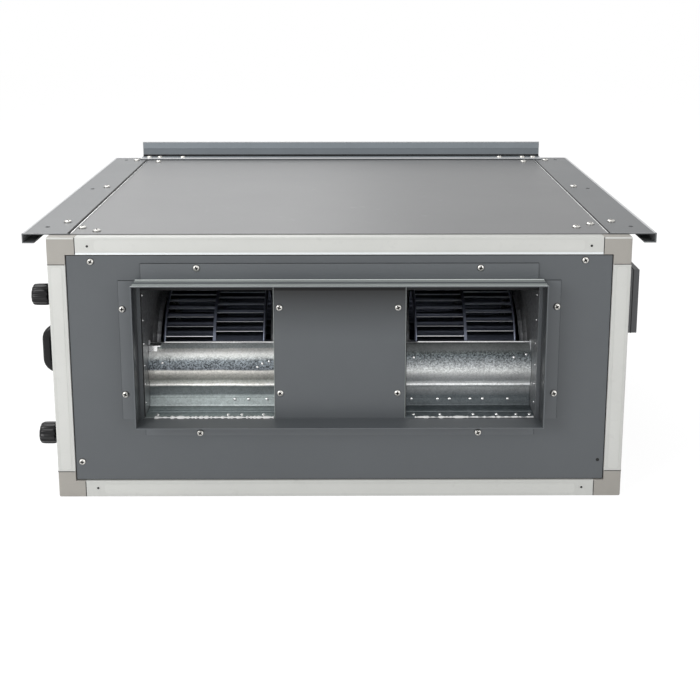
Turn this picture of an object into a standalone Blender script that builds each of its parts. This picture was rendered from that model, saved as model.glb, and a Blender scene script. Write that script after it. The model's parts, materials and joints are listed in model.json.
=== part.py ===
"""Ducted fan coil unit: a framed casing with twin double-inlet blowers, a finned coil and a filter.

Metres. +X is to the right when facing the two air outlets, +Y runs from the outlets to the return
side, +Z is up. The origin is the centre of the underside.
"""

import math

import bmesh
import bpy
from mathutils import Matrix, Vector

# Casing
WIDTH = 1.155
DEPTH = 0.920
SEAT = 0.0003
SHEET = 0.0015

# Frame bars and their three-legged corner pieces
BAR = 0.036
BAR_WALL = 0.0018
BAR_ROUND = 0.003
CORNER_LEG = 0.056
SPIGOT = 0.018
LIP = 0.018
FLOOR_LIP = 0.006

# Panels between the bars
PANEL_THICK = 0.025
PANEL_RECESS = 0.0025
REVEAL = 0.002
FLOOR_VENT = 0.004
FLOOR_VENT_DEPTH = 0.020

# Top sheet, hanger rails and the rear top angle
RAIL_REACH = 0.0525
RAIL_INNER = 0.0435
RAIL_SHEET = 0.0025
RAIL_DROP = 0.020
RAIL_RETURN = 0.024
RAIL_SETBACK = 0.020
HANGER_HOLE = 0.005
HANGER_HOLE_INSET = 0.037
HANGER_FRONT = 0.076
HANGER_SHIFT = 0.006
HANGER_REAR = 0.055
ANGLE_INSET = 0.0215
ANGLE_BASE = 0.050
ANGLE_RISE = 0.042
ANGLE_SHEET = 0.002

# Blowers
FAN_PITCH = 0.529
OUTLET_WIDTH = 0.265
OUTLET_HEIGHT = 0.289
OUTLET_SILL = 0.171
OUTLET_HEADROOM = 0.090
AXLE_BACK = 0.228
AXLE_HEIGHT = 0.250
SCROLL_SHEET = 0.0012
SEAM = 0.008
OUTLET_FLANGE = 0.018
TONGUE_GAP = 0.010
TONGUE_ANGLE = -21.4
TONGUE_LAP = 2.0
TONGUE_LEDGE = 0.060
CREASE_BACK = 0.0677
CREASE_RISE = 0.046
BARREL_BULGE = 0.024
BARREL_STEPS = 8
TOP_ANGLE = 270
SCROLL_STEPS = 22
INLET_RADIUS = 0.106
BELL_FLARE = 0.012
BELL_DEPTH = 0.016
MOUTH_SIDES = 24

# Blower wheels, shaft and motor
WHEEL_RADIUS = 0.133
WHEEL_WIDTH = 0.214
BLADE_COUNT = 38
BLADE_CHORD = 0.020
BLADE_SWEEP = 6.5
BLADE_SHEET = 0.0012
BLADE_INSET = 0.0015
RIM_WIDTH = 0.004
DISC_SHEET = 0.003
HUB_RADIUS = 0.024
HUB_LENGTH = 0.036
HUB_NOSE_RADIUS = 0.0192
SHAFT_RADIUS = 0.0095
SHAFT_END = 0.030
MOTOR_RADIUS = 0.080
MOTOR_LENGTH = 0.170
MOTOR_NOSE = 0.014
MOTOR_NOSE_RADIUS = 0.0196
MOTOR_NOSE_ROOT = 0.0255
MOTOR_END_RADIUS = 0.0656
MOTOR_END_DISH = 0.006
MOTOR_CHAMFER = 0.022
MOTOR_SIDES = 24
CRADLE_LENGTH = 0.090
CRADLE_SHEET = 0.003
CRADLE_FOOT = 0.040
CRADLE_SPREAD = 0.075
SADDLE_STEP = 12
SADDLE_ANGLES = (210, 330)

# Duct collar around both outlets
COLLAR_REACH = 0.045
COLLAR_SHEET = 0.002
COLLAR_FLANGE = 0.035
COLLAR_SIDE_MARGIN = 0.0075
COLLAR_SILL_MARGIN = 0.001

# Access door on the left side, with its latches, handle and hinges
DOOR_LENGTH = 0.432
MULLION = 0.036
KNOB_SETBACK = 0.031
KNOB_RISE = 0.111
KNOB_DROP = 0.137
KNOB_RADIUS = 0.023
KNOB_HEAD = 0.0335
KNOB_NECK = 0.019
KNOB_NECK_RADIUS = 0.013
KNOB_LOBES = 9
KNOB_FLUTE = 0.0018
SPINDLE_RADIUS = 0.005
PAWL_LENGTH = 0.029
PAWL_WIDTH = 0.013
PAWL_SHEET = 0.003
PAWL_CLEARANCE = 0.001
HANDLE_LENGTH = 0.124
HANDLE_REACH = 0.043
HANDLE_BAR = 0.011
HANDLE_WIDTH = 0.020
HANDLE_SETBACK = 0.046
HANDLE_SLOPE = 0.0088
HANDLE_LIFT = 0.030
HINGE_RISE = 0.110
HINGE_DROP = 0.135
HINGE_HALF = 0.032
HINGE_LEAF = 0.026
HINGE_SHEET = 0.002
KNUCKLE_RADIUS = 0.0055
KNUCKLE_STEPS = 12
HINGE_PIN_RADIUS = 0.0028
HINGE_PIN_SHORT = 0.0032

# Terminal box on the right side
BOX_FRONT = 0.098
BOX_LENGTH = 0.180
BOX_REACH = 0.0445
BOX_DROP = 0.095
BOX_HEIGHT = 0.137
BOX_LID = 0.012
BOX_SHEET = 0.0015

# Filter and its rack at the return side
FILTER_THICK = 0.050
FILTER_BORDER = 0.022
FILTER_MARGIN = 0.020
PLEAT_PITCH = 0.035
PLEAT_SHEET = 0.003
PLEAT_DEPTH = 0.032
RACK_FLANGE = 0.014
RACK_SPREAD = 0.025
RACK_SHEET = 0.0015

# Coil, headers and drain pan
COIL_GAP = 0.0419
COIL_THICK = 0.130
COIL_END_GAP = 0.050
COIL_HEADROOM = 0.050
COIL_SHEET = 0.002
FIN_PITCH = 0.050
FIN_SHEET = 0.001
FIN_INSET = 0.004
FIN_MARGIN = 0.008
HEADER_RADIUS = 0.014
HEADER_GAP = 0.006
HEADER_MARGIN = 0.016
STUB_REACH = 0.0495
STUB_RISE = 0.150
STUB_DROP = 0.100
STUB_INSET = 0.035
PIPE_WALL = 0.0015
PIPE_SIDES = 16
GROMMET = 0.002
PAN_MARGIN = 0.022
PAN_END = 0.0132
PAN_SHEET = 0.0015
PAN_FLOOR = 0.024
PAN_DEPTH = 0.064
DRAIN_RADIUS = 0.011
DRAIN_RISE = 0.0145

# Places worked out from the sizes above
HEIGHT = OUTLET_SILL + OUTLET_HEIGHT + OUTLET_HEADROOM
FRONT = -DEPTH / 2
REAR = DEPTH / 2
SIDE = WIDTH / 2
LIP_FACE = PANEL_RECESS + PANEL_THICK + SEAT
LIP_BACK = LIP_FACE + BAR_WALL
BAR_CUT = CORNER_LEG + SEAT
FLOOR_TOP = PANEL_RECESS + PANEL_THICK
ROOF = HEIGHT + SEAT
DOOR_FACE = SIDE - PANEL_RECESS
DOOR_BACK = DOOR_FACE - PANEL_THICK
DOOR_FRONT = FRONT + BAR + REVEAL
DOOR_REAR = DOOR_FRONT + DOOR_LENGTH
MULLION_FRONT = DOOR_REAR + REVEAL
PANEL_BOTTOM = BAR + REVEAL
PANEL_TOP = HEIGHT - BAR - REVEAL
FILTER_REAR = REAR - BAR - SEAT - RACK_SHEET - SEAT
FILTER_FRONT = FILTER_REAR - FILTER_THICK
FILTER_BOTTOM = BAR + FILTER_MARGIN
FILTER_TOP = HEIGHT - BAR - FILTER_MARGIN
FILTER_RIGHT = SIDE - BAR - SEAT - RACK_SPREAD
AXLE = Vector((0.0, FRONT + AXLE_BACK, AXLE_HEIGHT))
OUTLET_PLANE = -AXLE_BACK + PANEL_RECESS + SHEET + SEAT
SILL = OUTLET_SILL - AXLE_HEIGHT
SCROLL_TOP = SILL + OUTLET_HEIGHT
HINGE_X = -SIDE - SEAT - KNUCKLE_RADIUS
HINGE_Y = DOOR_REAR + REVEAL / 2
HINGE_HEIGHTS = (HINGE_RISE, HEIGHT - HINGE_DROP)
KNOB_HEIGHTS = (KNOB_RISE, HEIGHT - KNOB_DROP)
HANDLE_HEIGHT = sum(KNOB_HEIGHTS) / 2 + HANDLE_LIFT
HANGER_STATIONS = (HANGER_FRONT, DEPTH / 2 + HANGER_SHIFT, DEPTH - HANGER_REAR)
ANGLE_HALF_LENGTH = SIDE - ANGLE_INSET
BOX_BOTTOM = HEIGHT - BOX_DROP - BOX_HEIGHT
COIL_REAR = FILTER_FRONT - COIL_GAP
COIL_FRONT = COIL_REAR - COIL_THICK
COIL_HALF_LENGTH = DOOR_BACK - COIL_END_GAP
COIL_TOP = HEIGHT - COIL_HEADROOM
STUB_HEIGHTS = (STUB_RISE, COIL_TOP - STUB_DROP)

X = Vector((1, 0, 0))
Y = Vector((0, 1, 0))
Z = Vector((0, 0, 1))

FINISHES = {
    "frame_enamel": ((0.70, 0.70, 0.67), 0.45, 0.0),
    "corner_plastic": ((0.33, 0.30, 0.28), 0.55, 0.0),
    "panel_grey": ((0.16, 0.16, 0.17), 0.45, 0.3),
    "galvanised": ((0.46, 0.47, 0.48), 0.40, 0.9),
    "rail_grey": ((0.40, 0.40, 0.40), 0.45, 0.4),
    "angle_blue_grey": ((0.16, 0.18, 0.21), 0.45, 0.5),
    "blade_steel": ((0.50, 0.52, 0.55), 0.35, 0.9),
    "shaft_steel": ((0.45, 0.45, 0.46), 0.30, 1.0),
    "motor_enamel": ((0.05, 0.05, 0.055), 0.50, 0.2),
    "black_plastic": ((0.012, 0.012, 0.013), 0.45, 0.0),
    "box_grey": ((0.10, 0.10, 0.11), 0.50, 0.2),
    "fin_aluminium": ((0.60, 0.61, 0.62), 0.40, 0.9),
    "filter_white": ((0.72, 0.73, 0.72), 0.85, 0.0),
}


def clear_scene():
    """Remove every object of the start-up scene."""
    for old in list(bpy.data.objects):
        bpy.data.objects.remove(old, do_unlink=True)


def finish(name):
    """Return the material of one finish, made on its first use."""
    found = bpy.data.materials.get(name)
    if found:
        return found
    colour, roughness, metallic = FINISHES[name]
    made = bpy.data.materials.new(name)
    made.use_nodes = True
    shader = made.node_tree.nodes["Principled BSDF"]
    shader.inputs["Base Color"].default_value = (*colour, 1)
    shader.inputs["Roughness"].default_value = roughness
    shader.inputs["Metallic"].default_value = metallic
    made.diffuse_color = (*colour, 1)
    return made


def empty(name, place, parent=None):
    """Add an empty that stands on a joint's axis or a sub-assembly's centre."""
    guide = bpy.data.objects.new(name, None)
    bpy.context.collection.objects.link(guide)
    guide.parent = parent
    guide.location = place
    return guide


def add(name, mesh, look, place=(0, 0, 0), parent=None):
    """Add one named sub-part at its place under its parent."""
    if look and not mesh.materials:
        mesh.materials.append(finish(look))
    part = bpy.data.objects.new(name, mesh)
    bpy.context.collection.objects.link(part)
    part.parent = parent
    part.location = place
    return part


def to_mesh(bm, name, smooth=False):
    """Close a bmesh into a mesh with its faces pointing out."""
    bmesh.ops.recalc_face_normals(bm, faces=bm.faces)
    mesh = bpy.data.meshes.new(name)
    bm.to_mesh(mesh)
    bm.free()
    if smooth:
        mesh.shade_smooth()
        mesh.set_sharp_from_angle(angle=math.radians(35))
    return mesh


def prism(name, loops, axes, span, smooth=False):
    """Extrude a flat outline, the first loop, with holes, the other loops, along the third axis."""
    across, up, along = axes
    bm = bmesh.new()
    edges = []
    for loop in loops:
        ring = [bm.verts.new(across * u + up * v + along * span[0]) for u, v in loop]
        edges += [bm.edges.new((ring[i - 1], ring[i])) for i in range(len(ring))]
    bmesh.ops.triangle_fill(bm, edges=edges, use_beauty=True, use_dissolve=False)
    raised = bmesh.ops.extrude_face_region(bm, geom=bm.faces[:])["geom"]
    corners = [item for item in raised if isinstance(item, bmesh.types.BMVert)]
    bmesh.ops.translate(bm, verts=corners, vec=along * (span[1] - span[0]))
    return to_mesh(bm, name, smooth)


def box(name, low, high):
    """Make a plain rectangular block between two corners."""
    outline = rectangle(low[0], low[1], high[0], high[1])
    return prism(name, [outline], (X, Y, Z), (low[2], high[2]))


def rectangle(u0, v0, u1, v1):
    """Return the four corners of a rectangle."""
    return [(u0, v0), (u1, v0), (u1, v1), (u0, v1)]


def circle(radius, sides, centre=(0, 0), turn=0.0):
    """Return evenly spaced points of a circle."""
    steps = [turn + 2 * math.pi * i / sides for i in range(sides)]
    return [(centre[0] + radius * math.cos(a), centre[1] + radius * math.sin(a)) for a in steps]


def folded(path, sheet):
    """Return the outline of a folded sheet: the path, and its copy offset to the right."""
    points = [Vector(p) for p in path]
    runs = [(b - a).normalized() for a, b in zip(points, points[1:])]
    offset = []
    for i, point in enumerate(points):
        before = runs[max(i - 1, 0)]
        after = runs[min(i, len(runs) - 1)]
        right = Vector((before.y, -before.x)) + Vector((after.y, -after.x))
        right.normalize()
        offset.append(point + right * sheet / right.dot(Vector((after.y, -after.x))))
    return [tuple(p) for p in points + offset[::-1]]


def swept(name, section, stations, closed=False):
    """Carry a section round a path in the XZ plane, mitred at its corners.

    A section point is (outward offset, depth along Y). A station is (x, z, outward x, outward z).
    """
    bm = bmesh.new()
    rings = []
    for x, z, out_x, out_z in stations:
        rings.append([bm.verts.new((x + out_x * o, d, z + out_z * o)) for o, d in section])
    pairs = list(zip(rings, rings[1:])) + ([(rings[-1], rings[0])] if closed else [])
    for first, second in pairs:
        for i in range(len(section)):
            bm.faces.new((first[i - 1], first[i], second[i], second[i - 1]))
    if not closed:
        ends = [bm.faces.new(rings[0]), bm.faces.new(rings[-1])]
        bmesh.ops.triangulate(bm, faces=ends)
    return to_mesh(bm, name)


def turned(name, profile, sides, bored=False):
    """Turn a profile of (axial place, radius) points about the X axis."""
    bm = bmesh.new()
    rings = []
    for axial, radius in profile:
        count = sides if radius > 0 else 1
        steps = [2 * math.pi * i / sides for i in range(count)]
        ring = [bm.verts.new((axial, radius * math.cos(a), radius * math.sin(a))) for a in steps]
        rings.append(ring)
    pairs = list(zip(rings, rings[1:])) + ([(rings[-1], rings[0])] if bored else [])
    for first, second in pairs:
        for i in range(sides):
            j = (i + 1) % sides
            corners = [first[i % len(first)], first[j % len(first)]]
            corners += [second[j % len(second)], second[i % len(second)]]
            bm.faces.new(list(dict.fromkeys(corners)))
    return to_mesh(bm, name, smooth=True)


def apply_boolean(part, mesh, operation):
    """Join or cut a part with another closed mesh given in the part's own coordinates."""
    tool = add(part.name + "_" + operation.lower(), mesh, None)
    tool.hide_render = True
    tool.display_type = "WIRE"
    tool.parent = part
    step = part.modifiers.new(operation.title(), "BOOLEAN")
    step.operation = operation
    step.solver = "EXACT"
    step.object = tool


def cut(part, mesh):
    """Cut a closed mesh out of a part."""
    apply_boolean(part, mesh, "DIFFERENCE")


def fuse(part, mesh):
    """Join a closed mesh to a part."""
    apply_boolean(part, mesh, "UNION")


def rod(name, radius, sides, axes, span, centre=(0, 0)):
    """Make a round rod with flat ends."""
    return prism(name, [circle(radius, sides, centre, math.pi / sides)], axes, span, smooth=True)


def tray(name, low, high, open_side, sheet):
    """Fold a panel tray: a skin with four returned edges, open on one side (axis, end)."""
    axis, end = open_side
    bm = bmesh.new()
    bmesh.ops.create_cube(bm, size=1.0)
    for vert in bm.verts:
        vert.co = Vector([low[i] if vert.co[i] < 0 else high[i] for i in range(3)])
    bm.normal_update()
    missing = [face for face in bm.faces if face.normal[axis] * end > 0.5]
    bmesh.ops.delete(bm, geom=missing, context="FACES_ONLY")
    bmesh.ops.solidify(bm, geom=bm.faces[:], thickness=sheet)
    return to_mesh(bm, name)


def frame_corner(name, signs):
    """Place a cast corner: three legs that meet, each with a spigot for its bar."""
    bm = bmesh.new()
    bmesh.ops.create_cube(bm, size=BAR)
    bmesh.ops.translate(bm, verts=bm.verts, vec=(BAR / 2, BAR / 2, BAR / 2))
    ends = [max(bm.faces, key=lambda f: f.calc_center_median()[axis]) for axis in range(3)]
    for leg, axis in zip(ends, (X, Y, Z)):
        leg = bmesh.ops.extrude_discrete_faces(bm, faces=[leg])["faces"][0]
        bmesh.ops.translate(bm, verts=leg.verts, vec=axis * (CORNER_LEG - BAR))
        inset = BAR_WALL + SEAT
        bmesh.ops.inset_region(bm, faces=[leg], thickness=inset, use_boundary=True, use_even_offset=True)
        plug = bmesh.ops.extrude_discrete_faces(bm, faces=[leg])["faces"][0]
        bmesh.ops.translate(bm, verts=plug.verts, vec=axis * SPIGOT)
    outer = [e for e in bm.edges if all(sorted(v.co)[1] < SEAT for v in e.verts)]
    bmesh.ops.bevel(bm, geom=outer, offset=BAR_ROUND, segments=2, profile=0.5, affect="EDGES")
    sx, sy, sz = signs
    legs = [-X * sx, -Y * sy, -Z * sz]
    if sx * sy * sz > 0:
        legs[0], legs[1] = legs[1], legs[0]
    place = Vector((sx * SIDE, sy * REAR, HEIGHT if sz > 0 else 0.0))
    corner = add(name, to_mesh(bm, name), "corner_plastic", place)
    corner.rotation_euler = Matrix(legs).transposed().to_euler()


def frame_corners():
    """Place the eight corners."""
    for level, sz in (("bottom", -1), ("top", 1)):
        for depth, sy in (("front", -1), ("rear", 1)):
            for side, sx in (("left", -1), ("right", 1)):
                frame_corner(f"corner_{depth}_{level}_{side}", (sx, sy, sz))


def bar_outline(lip_u, lip_v):
    """Return a hollow bar's section with lips of two lengths that panels seat against.

    Both outer faces meet at the rounded corner (0, 0). A lip in u runs behind the panel on the
    v = 0 face, and a lip in v behind the panel on the u = 0 face. A length of nought leaves it out.
    """
    r = BAR_ROUND
    arc = [(r - r * math.cos(a), r - r * math.sin(a)) for a in (0, math.pi / 4, math.pi / 2)]
    outline = arc + [(BAR, 0)]
    if lip_u:
        tip = BAR + lip_u
        outline += [(BAR, LIP_FACE), (tip, LIP_FACE), (tip, LIP_BACK), (BAR, LIP_BACK)]
    outline += [(BAR, BAR)]
    if lip_v:
        tip = BAR + lip_v
        outline += [(LIP_BACK, BAR), (LIP_BACK, tip), (LIP_FACE, tip), (LIP_FACE, BAR)]
    outline += [(0, BAR)]
    inner = BAR - BAR_WALL
    return [outline, rectangle(BAR_WALL, BAR_WALL, inner, inner)]


def frame_bar(name, corner, axes, length, lips):
    """Place one hollow bar between two corners of the frame."""
    span = (BAR_CUT, length - BAR_CUT)
    add(name, prism(name, bar_outline(*lips), axes, span), "frame_enamel", corner)


def frame_bars():
    """Place the twelve bars with lips only where a panel or the door closes against them.

    The lips over the floor are short, so that they leave the room above it clear.
    """
    for depth, y, inward in (("front", FRONT, Y), ("rear", REAR, -Y)):
        seat = LIP if depth == "front" else 0
        low = (-SIDE, y, 0)
        high = (-SIDE, y, HEIGHT)
        frame_bar(f"bar_{depth}_bottom", low, (Z, inward, X), WIDTH, (seat, FLOOR_LIP))
        frame_bar(f"bar_{depth}_top", high, (-Z, inward, X), WIDTH, (seat, 0))
        for side, x, across in (("left", -SIDE, X), ("right", SIDE, -X)):
            shut = LIP if seat or side == "right" else 0
            frame_bar(f"post_{depth}_{side}", (x, y, 0), (across, inward, Z), HEIGHT, (seat, shut))
    for side, x, across in (("left", -SIDE, X), ("right", SIDE, -X)):
        low = (x, FRONT, 0)
        high = (x, FRONT, HEIGHT)
        frame_bar(f"bar_{side}_bottom", low, (across, Z, Y), DEPTH, (FLOOR_LIP, LIP))
        frame_bar(f"bar_{side}_top", high, (across, -Z, Y), DEPTH, (0, LIP))


def floor_panel():
    """Place the double-skin floor: two skins round a cavity that a vent in one edge opens."""
    x = SIDE - BAR - REVEAL
    y = REAR - BAR - REVEAL
    low = (-x, -y, 0)
    high = (x, y, FLOOR_TOP)
    floor = add("bottom_panel", box("bottom_panel", low, high), "panel_grey")
    inside = [(-x + SHEET, -y + SHEET, SHEET), (x - SHEET, y - SHEET, FLOOR_TOP - SHEET)]
    cut(floor, box("floor_cavity", *inside))
    vent = rod("floor_vent", FLOOR_VENT, 8, (Y, Z, X), (x - FLOOR_VENT_DEPTH, x + SHEET), (0, FLOOR_TOP / 2))
    cut(floor, vent)


def front_panel():
    """Place the front tray with the two blower outlets cut through it."""
    x = SIDE - BAR - REVEAL
    face = FRONT + PANEL_RECESS
    low = (-x, face, PANEL_BOTTOM)
    high = (x, face + PANEL_THICK, PANEL_TOP)
    panel = add("front_panel", tray("front_panel", low, high, (1, 1), SHEET), "panel_grey")
    for centre in (-FAN_PITCH / 2, FAN_PITCH / 2):
        side = OUTLET_WIDTH / 2
        low = (centre - side, face - SHEET, OUTLET_SILL)
        high = (centre + side, face + PANEL_THICK / 2, OUTLET_SILL + OUTLET_HEIGHT)
        cut(panel, box("outlet_cut", low, high))


def side_panels():
    """Place the right side tray, and the left one that the coil's pipes pass through."""
    low = (DOOR_BACK, FRONT + BAR + REVEAL, PANEL_BOTTOM)
    high = (DOOR_FACE, REAR - BAR - REVEAL, PANEL_TOP)
    add("right_panel", tray("right_panel", low, high, (0, -1), SHEET), "panel_grey")
    low = (-DOOR_FACE, MULLION_FRONT + MULLION + REVEAL, PANEL_BOTTOM)
    high = (-DOOR_BACK, FILTER_FRONT - RACK_SHEET - SEAT, PANEL_TOP)
    panel = add("coil_panel", tray("coil_panel", low, high, (0, 1), SHEET), "panel_grey")
    span = (-SIDE, -DOOR_FACE + PANEL_THICK / 2)
    for y, z in stub_places():
        cut(panel, rod("pipe_hole", HEADER_RADIUS + GROMMET, PIPE_SIDES, (Y, Z, X), span, (y, z)))
    hole = rod("drain_hole", DRAIN_RADIUS + GROMMET, PIPE_SIDES, (Y, Z, X), span, drain_place())
    cut(panel, hole)


def side_mullion():
    """Place the hollow post between the door and the coil panel, on the side bars' lips."""
    depth = LIP_FACE - SEAT
    outer = rectangle(0, 0, depth, MULLION)
    wall = BAR_WALL
    inner = rectangle(wall, wall, depth - wall, MULLION - wall)
    span = (BAR + SEAT, HEIGHT - BAR - SEAT)
    mesh = prism("side_mullion", [outer, inner], (X, Y, Z), span)
    add("side_mullion", mesh, "frame_enamel", (-SIDE, MULLION_FRONT, 0))


def top_panel():
    """Lay the roof sheet between the hanger rails."""
    x = SIDE - RAIL_INNER - SEAT
    low = (-x, FRONT + RAIL_SETBACK, ROOF)
    high = (x, REAR - SEAT, ROOF + SHEET)
    add("top_panel", box("top_panel", low, high), "rail_grey")


def hanger_rails():
    """Lay a folded hanger rail along each side bar, with three holes for the hanger rods."""
    outer = SIDE + RAIL_REACH
    inner = SIDE - RAIL_INNER
    top = ROOF + RAIL_SHEET
    path = [(inner, top), (outer, top), (outer, top - RAIL_DROP), (outer - RAIL_RETURN, top - RAIL_DROP)]
    for side, sign in (("left", -1), ("right", 1)):
        name = f"hanger_rail_{side}"
        outline = [(sign * u, v) for u, v in folded(path, RAIL_SHEET)]
        span = (FRONT + RAIL_SETBACK, REAR - RAIL_SETBACK)
        rail = add(name, prism(name, [outline], (X, Z, Y), span), "rail_grey")
        for station in HANGER_STATIONS:
            centre = (sign * (outer - HANGER_HOLE_INSET), FRONT + station)
            span = (ROOF - SHEET, top + SHEET)
            cut(rail, rod("hanger_hole", HANGER_HOLE, 12, (X, Y, Z), span, centre))


def rear_top_angle():
    """Stand the folded angle across the rear end of the rails."""
    base = ROOF + RAIL_SHEET + SEAT
    path = [(REAR, base + ANGLE_RISE), (REAR, base), (REAR - ANGLE_BASE, base)]
    outline = folded(path, ANGLE_SHEET)
    span = (-ANGLE_HALF_LENGTH, ANGLE_HALF_LENGTH)
    add("rear_top_angle", prism("rear_top_angle", [outline], (Y, Z, X), span), "angle_blue_grey")


def collar():
    """Frame both outlets with four mitred angles: a duct spigot and a flange on the panel."""
    back = FRONT + PANEL_RECESS - SEAT
    front = FRONT - COLLAR_REACH
    wall = COLLAR_SHEET
    section = [(0, front), (wall, front), (wall, back - wall), (COLLAR_FLANGE, back - wall)]
    section += [(COLLAR_FLANGE, back), (0, back)]
    x = FAN_PITCH / 2 + OUTLET_WIDTH / 2 + COLLAR_SIDE_MARGIN
    z0 = OUTLET_SILL - COLLAR_SILL_MARGIN
    z1 = OUTLET_SILL + OUTLET_HEIGHT + COLLAR_SILL_MARGIN
    cuts = {"bottom": ((-x, z0, -1, -1), (x, z0, 1, -1)), "right": ((x, z0, 1, -1), (x, z1, 1, 1))}
    cuts["top"] = ((x, z1, 1, 1), (-x, z1, -1, 1))
    cuts["left"] = ((-x, z1, -1, 1), (-x, z0, -1, -1))
    for side, ends in cuts.items():
        run = Vector((ends[1][0] - ends[0][0], ends[1][1] - ends[0][1])).normalized() * SEAT
        first = (ends[0][0] + run.x, ends[0][1] + run.y, *ends[0][2:])
        second = (ends[1][0] - run.x, ends[1][1] - run.y, *ends[1][2:])
        name = f"collar_{side}"
        add(name, swept(name, section, (first, second)), "galvanised")


def scroll_radius(angle):
    """Return the scroll's inner radius, which grows evenly from the tongue to the top."""
    start = WHEEL_RADIUS + TONGUE_GAP
    share = (angle - TONGUE_ANGLE) / (TOP_ANGLE - TONGUE_ANGLE)
    return start + (SCROLL_TOP - start) * share


def scroll_point(angle, offset=0.0):
    """Return a point of the scroll. The angle runs from the front over the bottom and the back."""
    radius = scroll_radius(angle) + offset
    turn = math.radians(angle)
    return (-radius * math.cos(turn), -radius * math.sin(turn))


def scroll_angle(height, offset=0.0):
    """Return the angle at which the scroll's lower front passes a height below the axle."""
    angle = 30.0
    for _ in range(20):
        angle = math.degrees(math.asin(-height / (scroll_radius(angle) + offset)))
    return angle


def scroll_arc(first, last, steps, offset=0.0):
    """Return evenly spaced points of the scroll between two angles."""
    return [scroll_point(first + (last - first) * i / steps, offset) for i in range(steps + 1)]


def scroll_wrap(name, parent):
    """Bend the scroll sheet from the tongue round to the outlet's upper flange."""
    path = scroll_arc(TONGUE_ANGLE + TONGUE_LAP, TOP_ANGLE, SCROLL_STEPS)
    path += [(OUTLET_PLANE, SCROLL_TOP), (OUTLET_PLANE, SCROLL_TOP + OUTLET_FLANGE)]
    half = OUTLET_WIDTH / 2 - SEAT
    outline = folded(path, SCROLL_SHEET)
    mesh = prism(name, [outline], (Y, Z, X), (-half, half), smooth=True)
    add(name, mesh, "galvanised", parent=parent)


def barrel():
    """Return the tongue's bulging front: an arc from the crease above the riser to the tip."""
    foot = Vector((OUTLET_PLANE + CREASE_BACK, SILL + CREASE_RISE))
    tip = Vector(scroll_point(TONGUE_ANGLE, SCROLL_SHEET))
    half = (tip - foot).length / 2
    radius = (half * half + BARREL_BULGE * BARREL_BULGE) / (2 * BARREL_BULGE)
    rise = (tip - foot).normalized()
    out = Vector((-rise.y, rise.x))
    centre = (foot + tip) / 2 - out * (radius - BARREL_BULGE)
    sweep = math.asin(half / radius)
    turns = [sweep * (2 * i / BARREL_STEPS - 1) for i in range(BARREL_STEPS + 1)]
    return [tuple(centre + (rise * math.sin(a) + out * math.cos(a)) * radius) for a in turns]


def tongue_plate(name, parent):
    """Bend the cut-off: a lower flange, a ledge, a riser and a barrel up to the tongue's tip."""
    path = [(OUTLET_PLANE, SILL - OUTLET_FLANGE), (OUTLET_PLANE, SILL)]
    path += [(OUTLET_PLANE + TONGUE_LEDGE, SILL)] + barrel()
    half = OUTLET_WIDTH / 2 - SEAT
    outline = folded(path, SCROLL_SHEET)
    mesh = prism(name, [outline], (Y, Z, X), (-half, half), smooth=True)
    add(name, mesh, "galvanised", parent=parent)


def side_plate(name, parent, sign):
    """Shape a scroll side: a flat sheet with a bell mouth drawn inwards and a front flange."""
    bm = bmesh.new()
    inner = sign * (OUTLET_WIDTH / 2)
    low = scroll_angle(SILL - SEAM, SEAM)
    edge = [(OUTLET_PLANE, SCROLL_TOP + SEAM), (OUTLET_PLANE, SILL - SEAM)]
    outline = edge + scroll_arc(low, TOP_ANGLE, SCROLL_STEPS, SEAM)
    mouth = circle(INLET_RADIUS + BELL_FLARE, MOUTH_SIDES)
    edges = []
    for loop in (outline, mouth):
        ring = [bm.verts.new((inner, y, z)) for y, z in loop]
        edges += [bm.edges.new((ring[i - 1], ring[i])) for i in range(len(ring))]
    bmesh.ops.triangle_fill(bm, edges=edges, use_beauty=True)
    rim = edges[len(outline):]
    for share in (0.5, 1.0):
        made = bmesh.ops.extrude_edge_only(bm, edges=rim)["geom"]
        rim = [item for item in made if isinstance(item, bmesh.types.BMEdge)]
        radius = INLET_RADIUS + BELL_FLARE * (1 - share) ** 2
        for vert in [item for item in made if isinstance(item, bmesh.types.BMVert)]:
            throat = Vector((0, vert.co.y, vert.co.z)).normalized() * radius
            vert.co = Vector((inner - sign * BELL_DEPTH * share, throat.y, throat.z))
    front = [e for e in bm.edges if all(abs(v.co.y - OUTLET_PLANE) < 1e-6 for v in e.verts)]
    made = bmesh.ops.extrude_edge_only(bm, edges=front)["geom"]
    corners = [item for item in made if isinstance(item, bmesh.types.BMVert)]
    bmesh.ops.translate(bm, verts=corners, vec=X * sign * OUTLET_FLANGE)
    bmesh.ops.recalc_face_normals(bm, faces=bm.faces)
    skin = to_mesh(bm, name, smooth=True)
    plate = add(name, skin, "galvanised", parent=parent)
    wall = plate.modifiers.new("Sheet", "SOLIDIFY")
    wall.thickness = SCROLL_SHEET
    wall.use_even_offset = True
    facing = skin.polygons[0].normal.x * sign
    wall.offset = 1 if facing > 0 else -1


def blade_outline(angle):
    """Return one forward-curved blade's section at an angle round the wheel."""
    inner = WHEEL_RADIUS - BLADE_CHORD - BLADE_INSET
    outer = WHEEL_RADIUS - BLADE_INSET
    leading = []
    trailing = []
    for share in (0.0, 0.5, 1.0):
        radius = inner + (outer - inner) * share
        turn = angle + math.radians(BLADE_SWEEP) * share ** 2
        half = BLADE_SHEET / 2 / radius
        leading.append((radius * math.cos(turn + half), radius * math.sin(turn + half)))
        trailing.append((radius * math.cos(turn - half), radius * math.sin(turn - half)))
    return leading + trailing[::-1]


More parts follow.
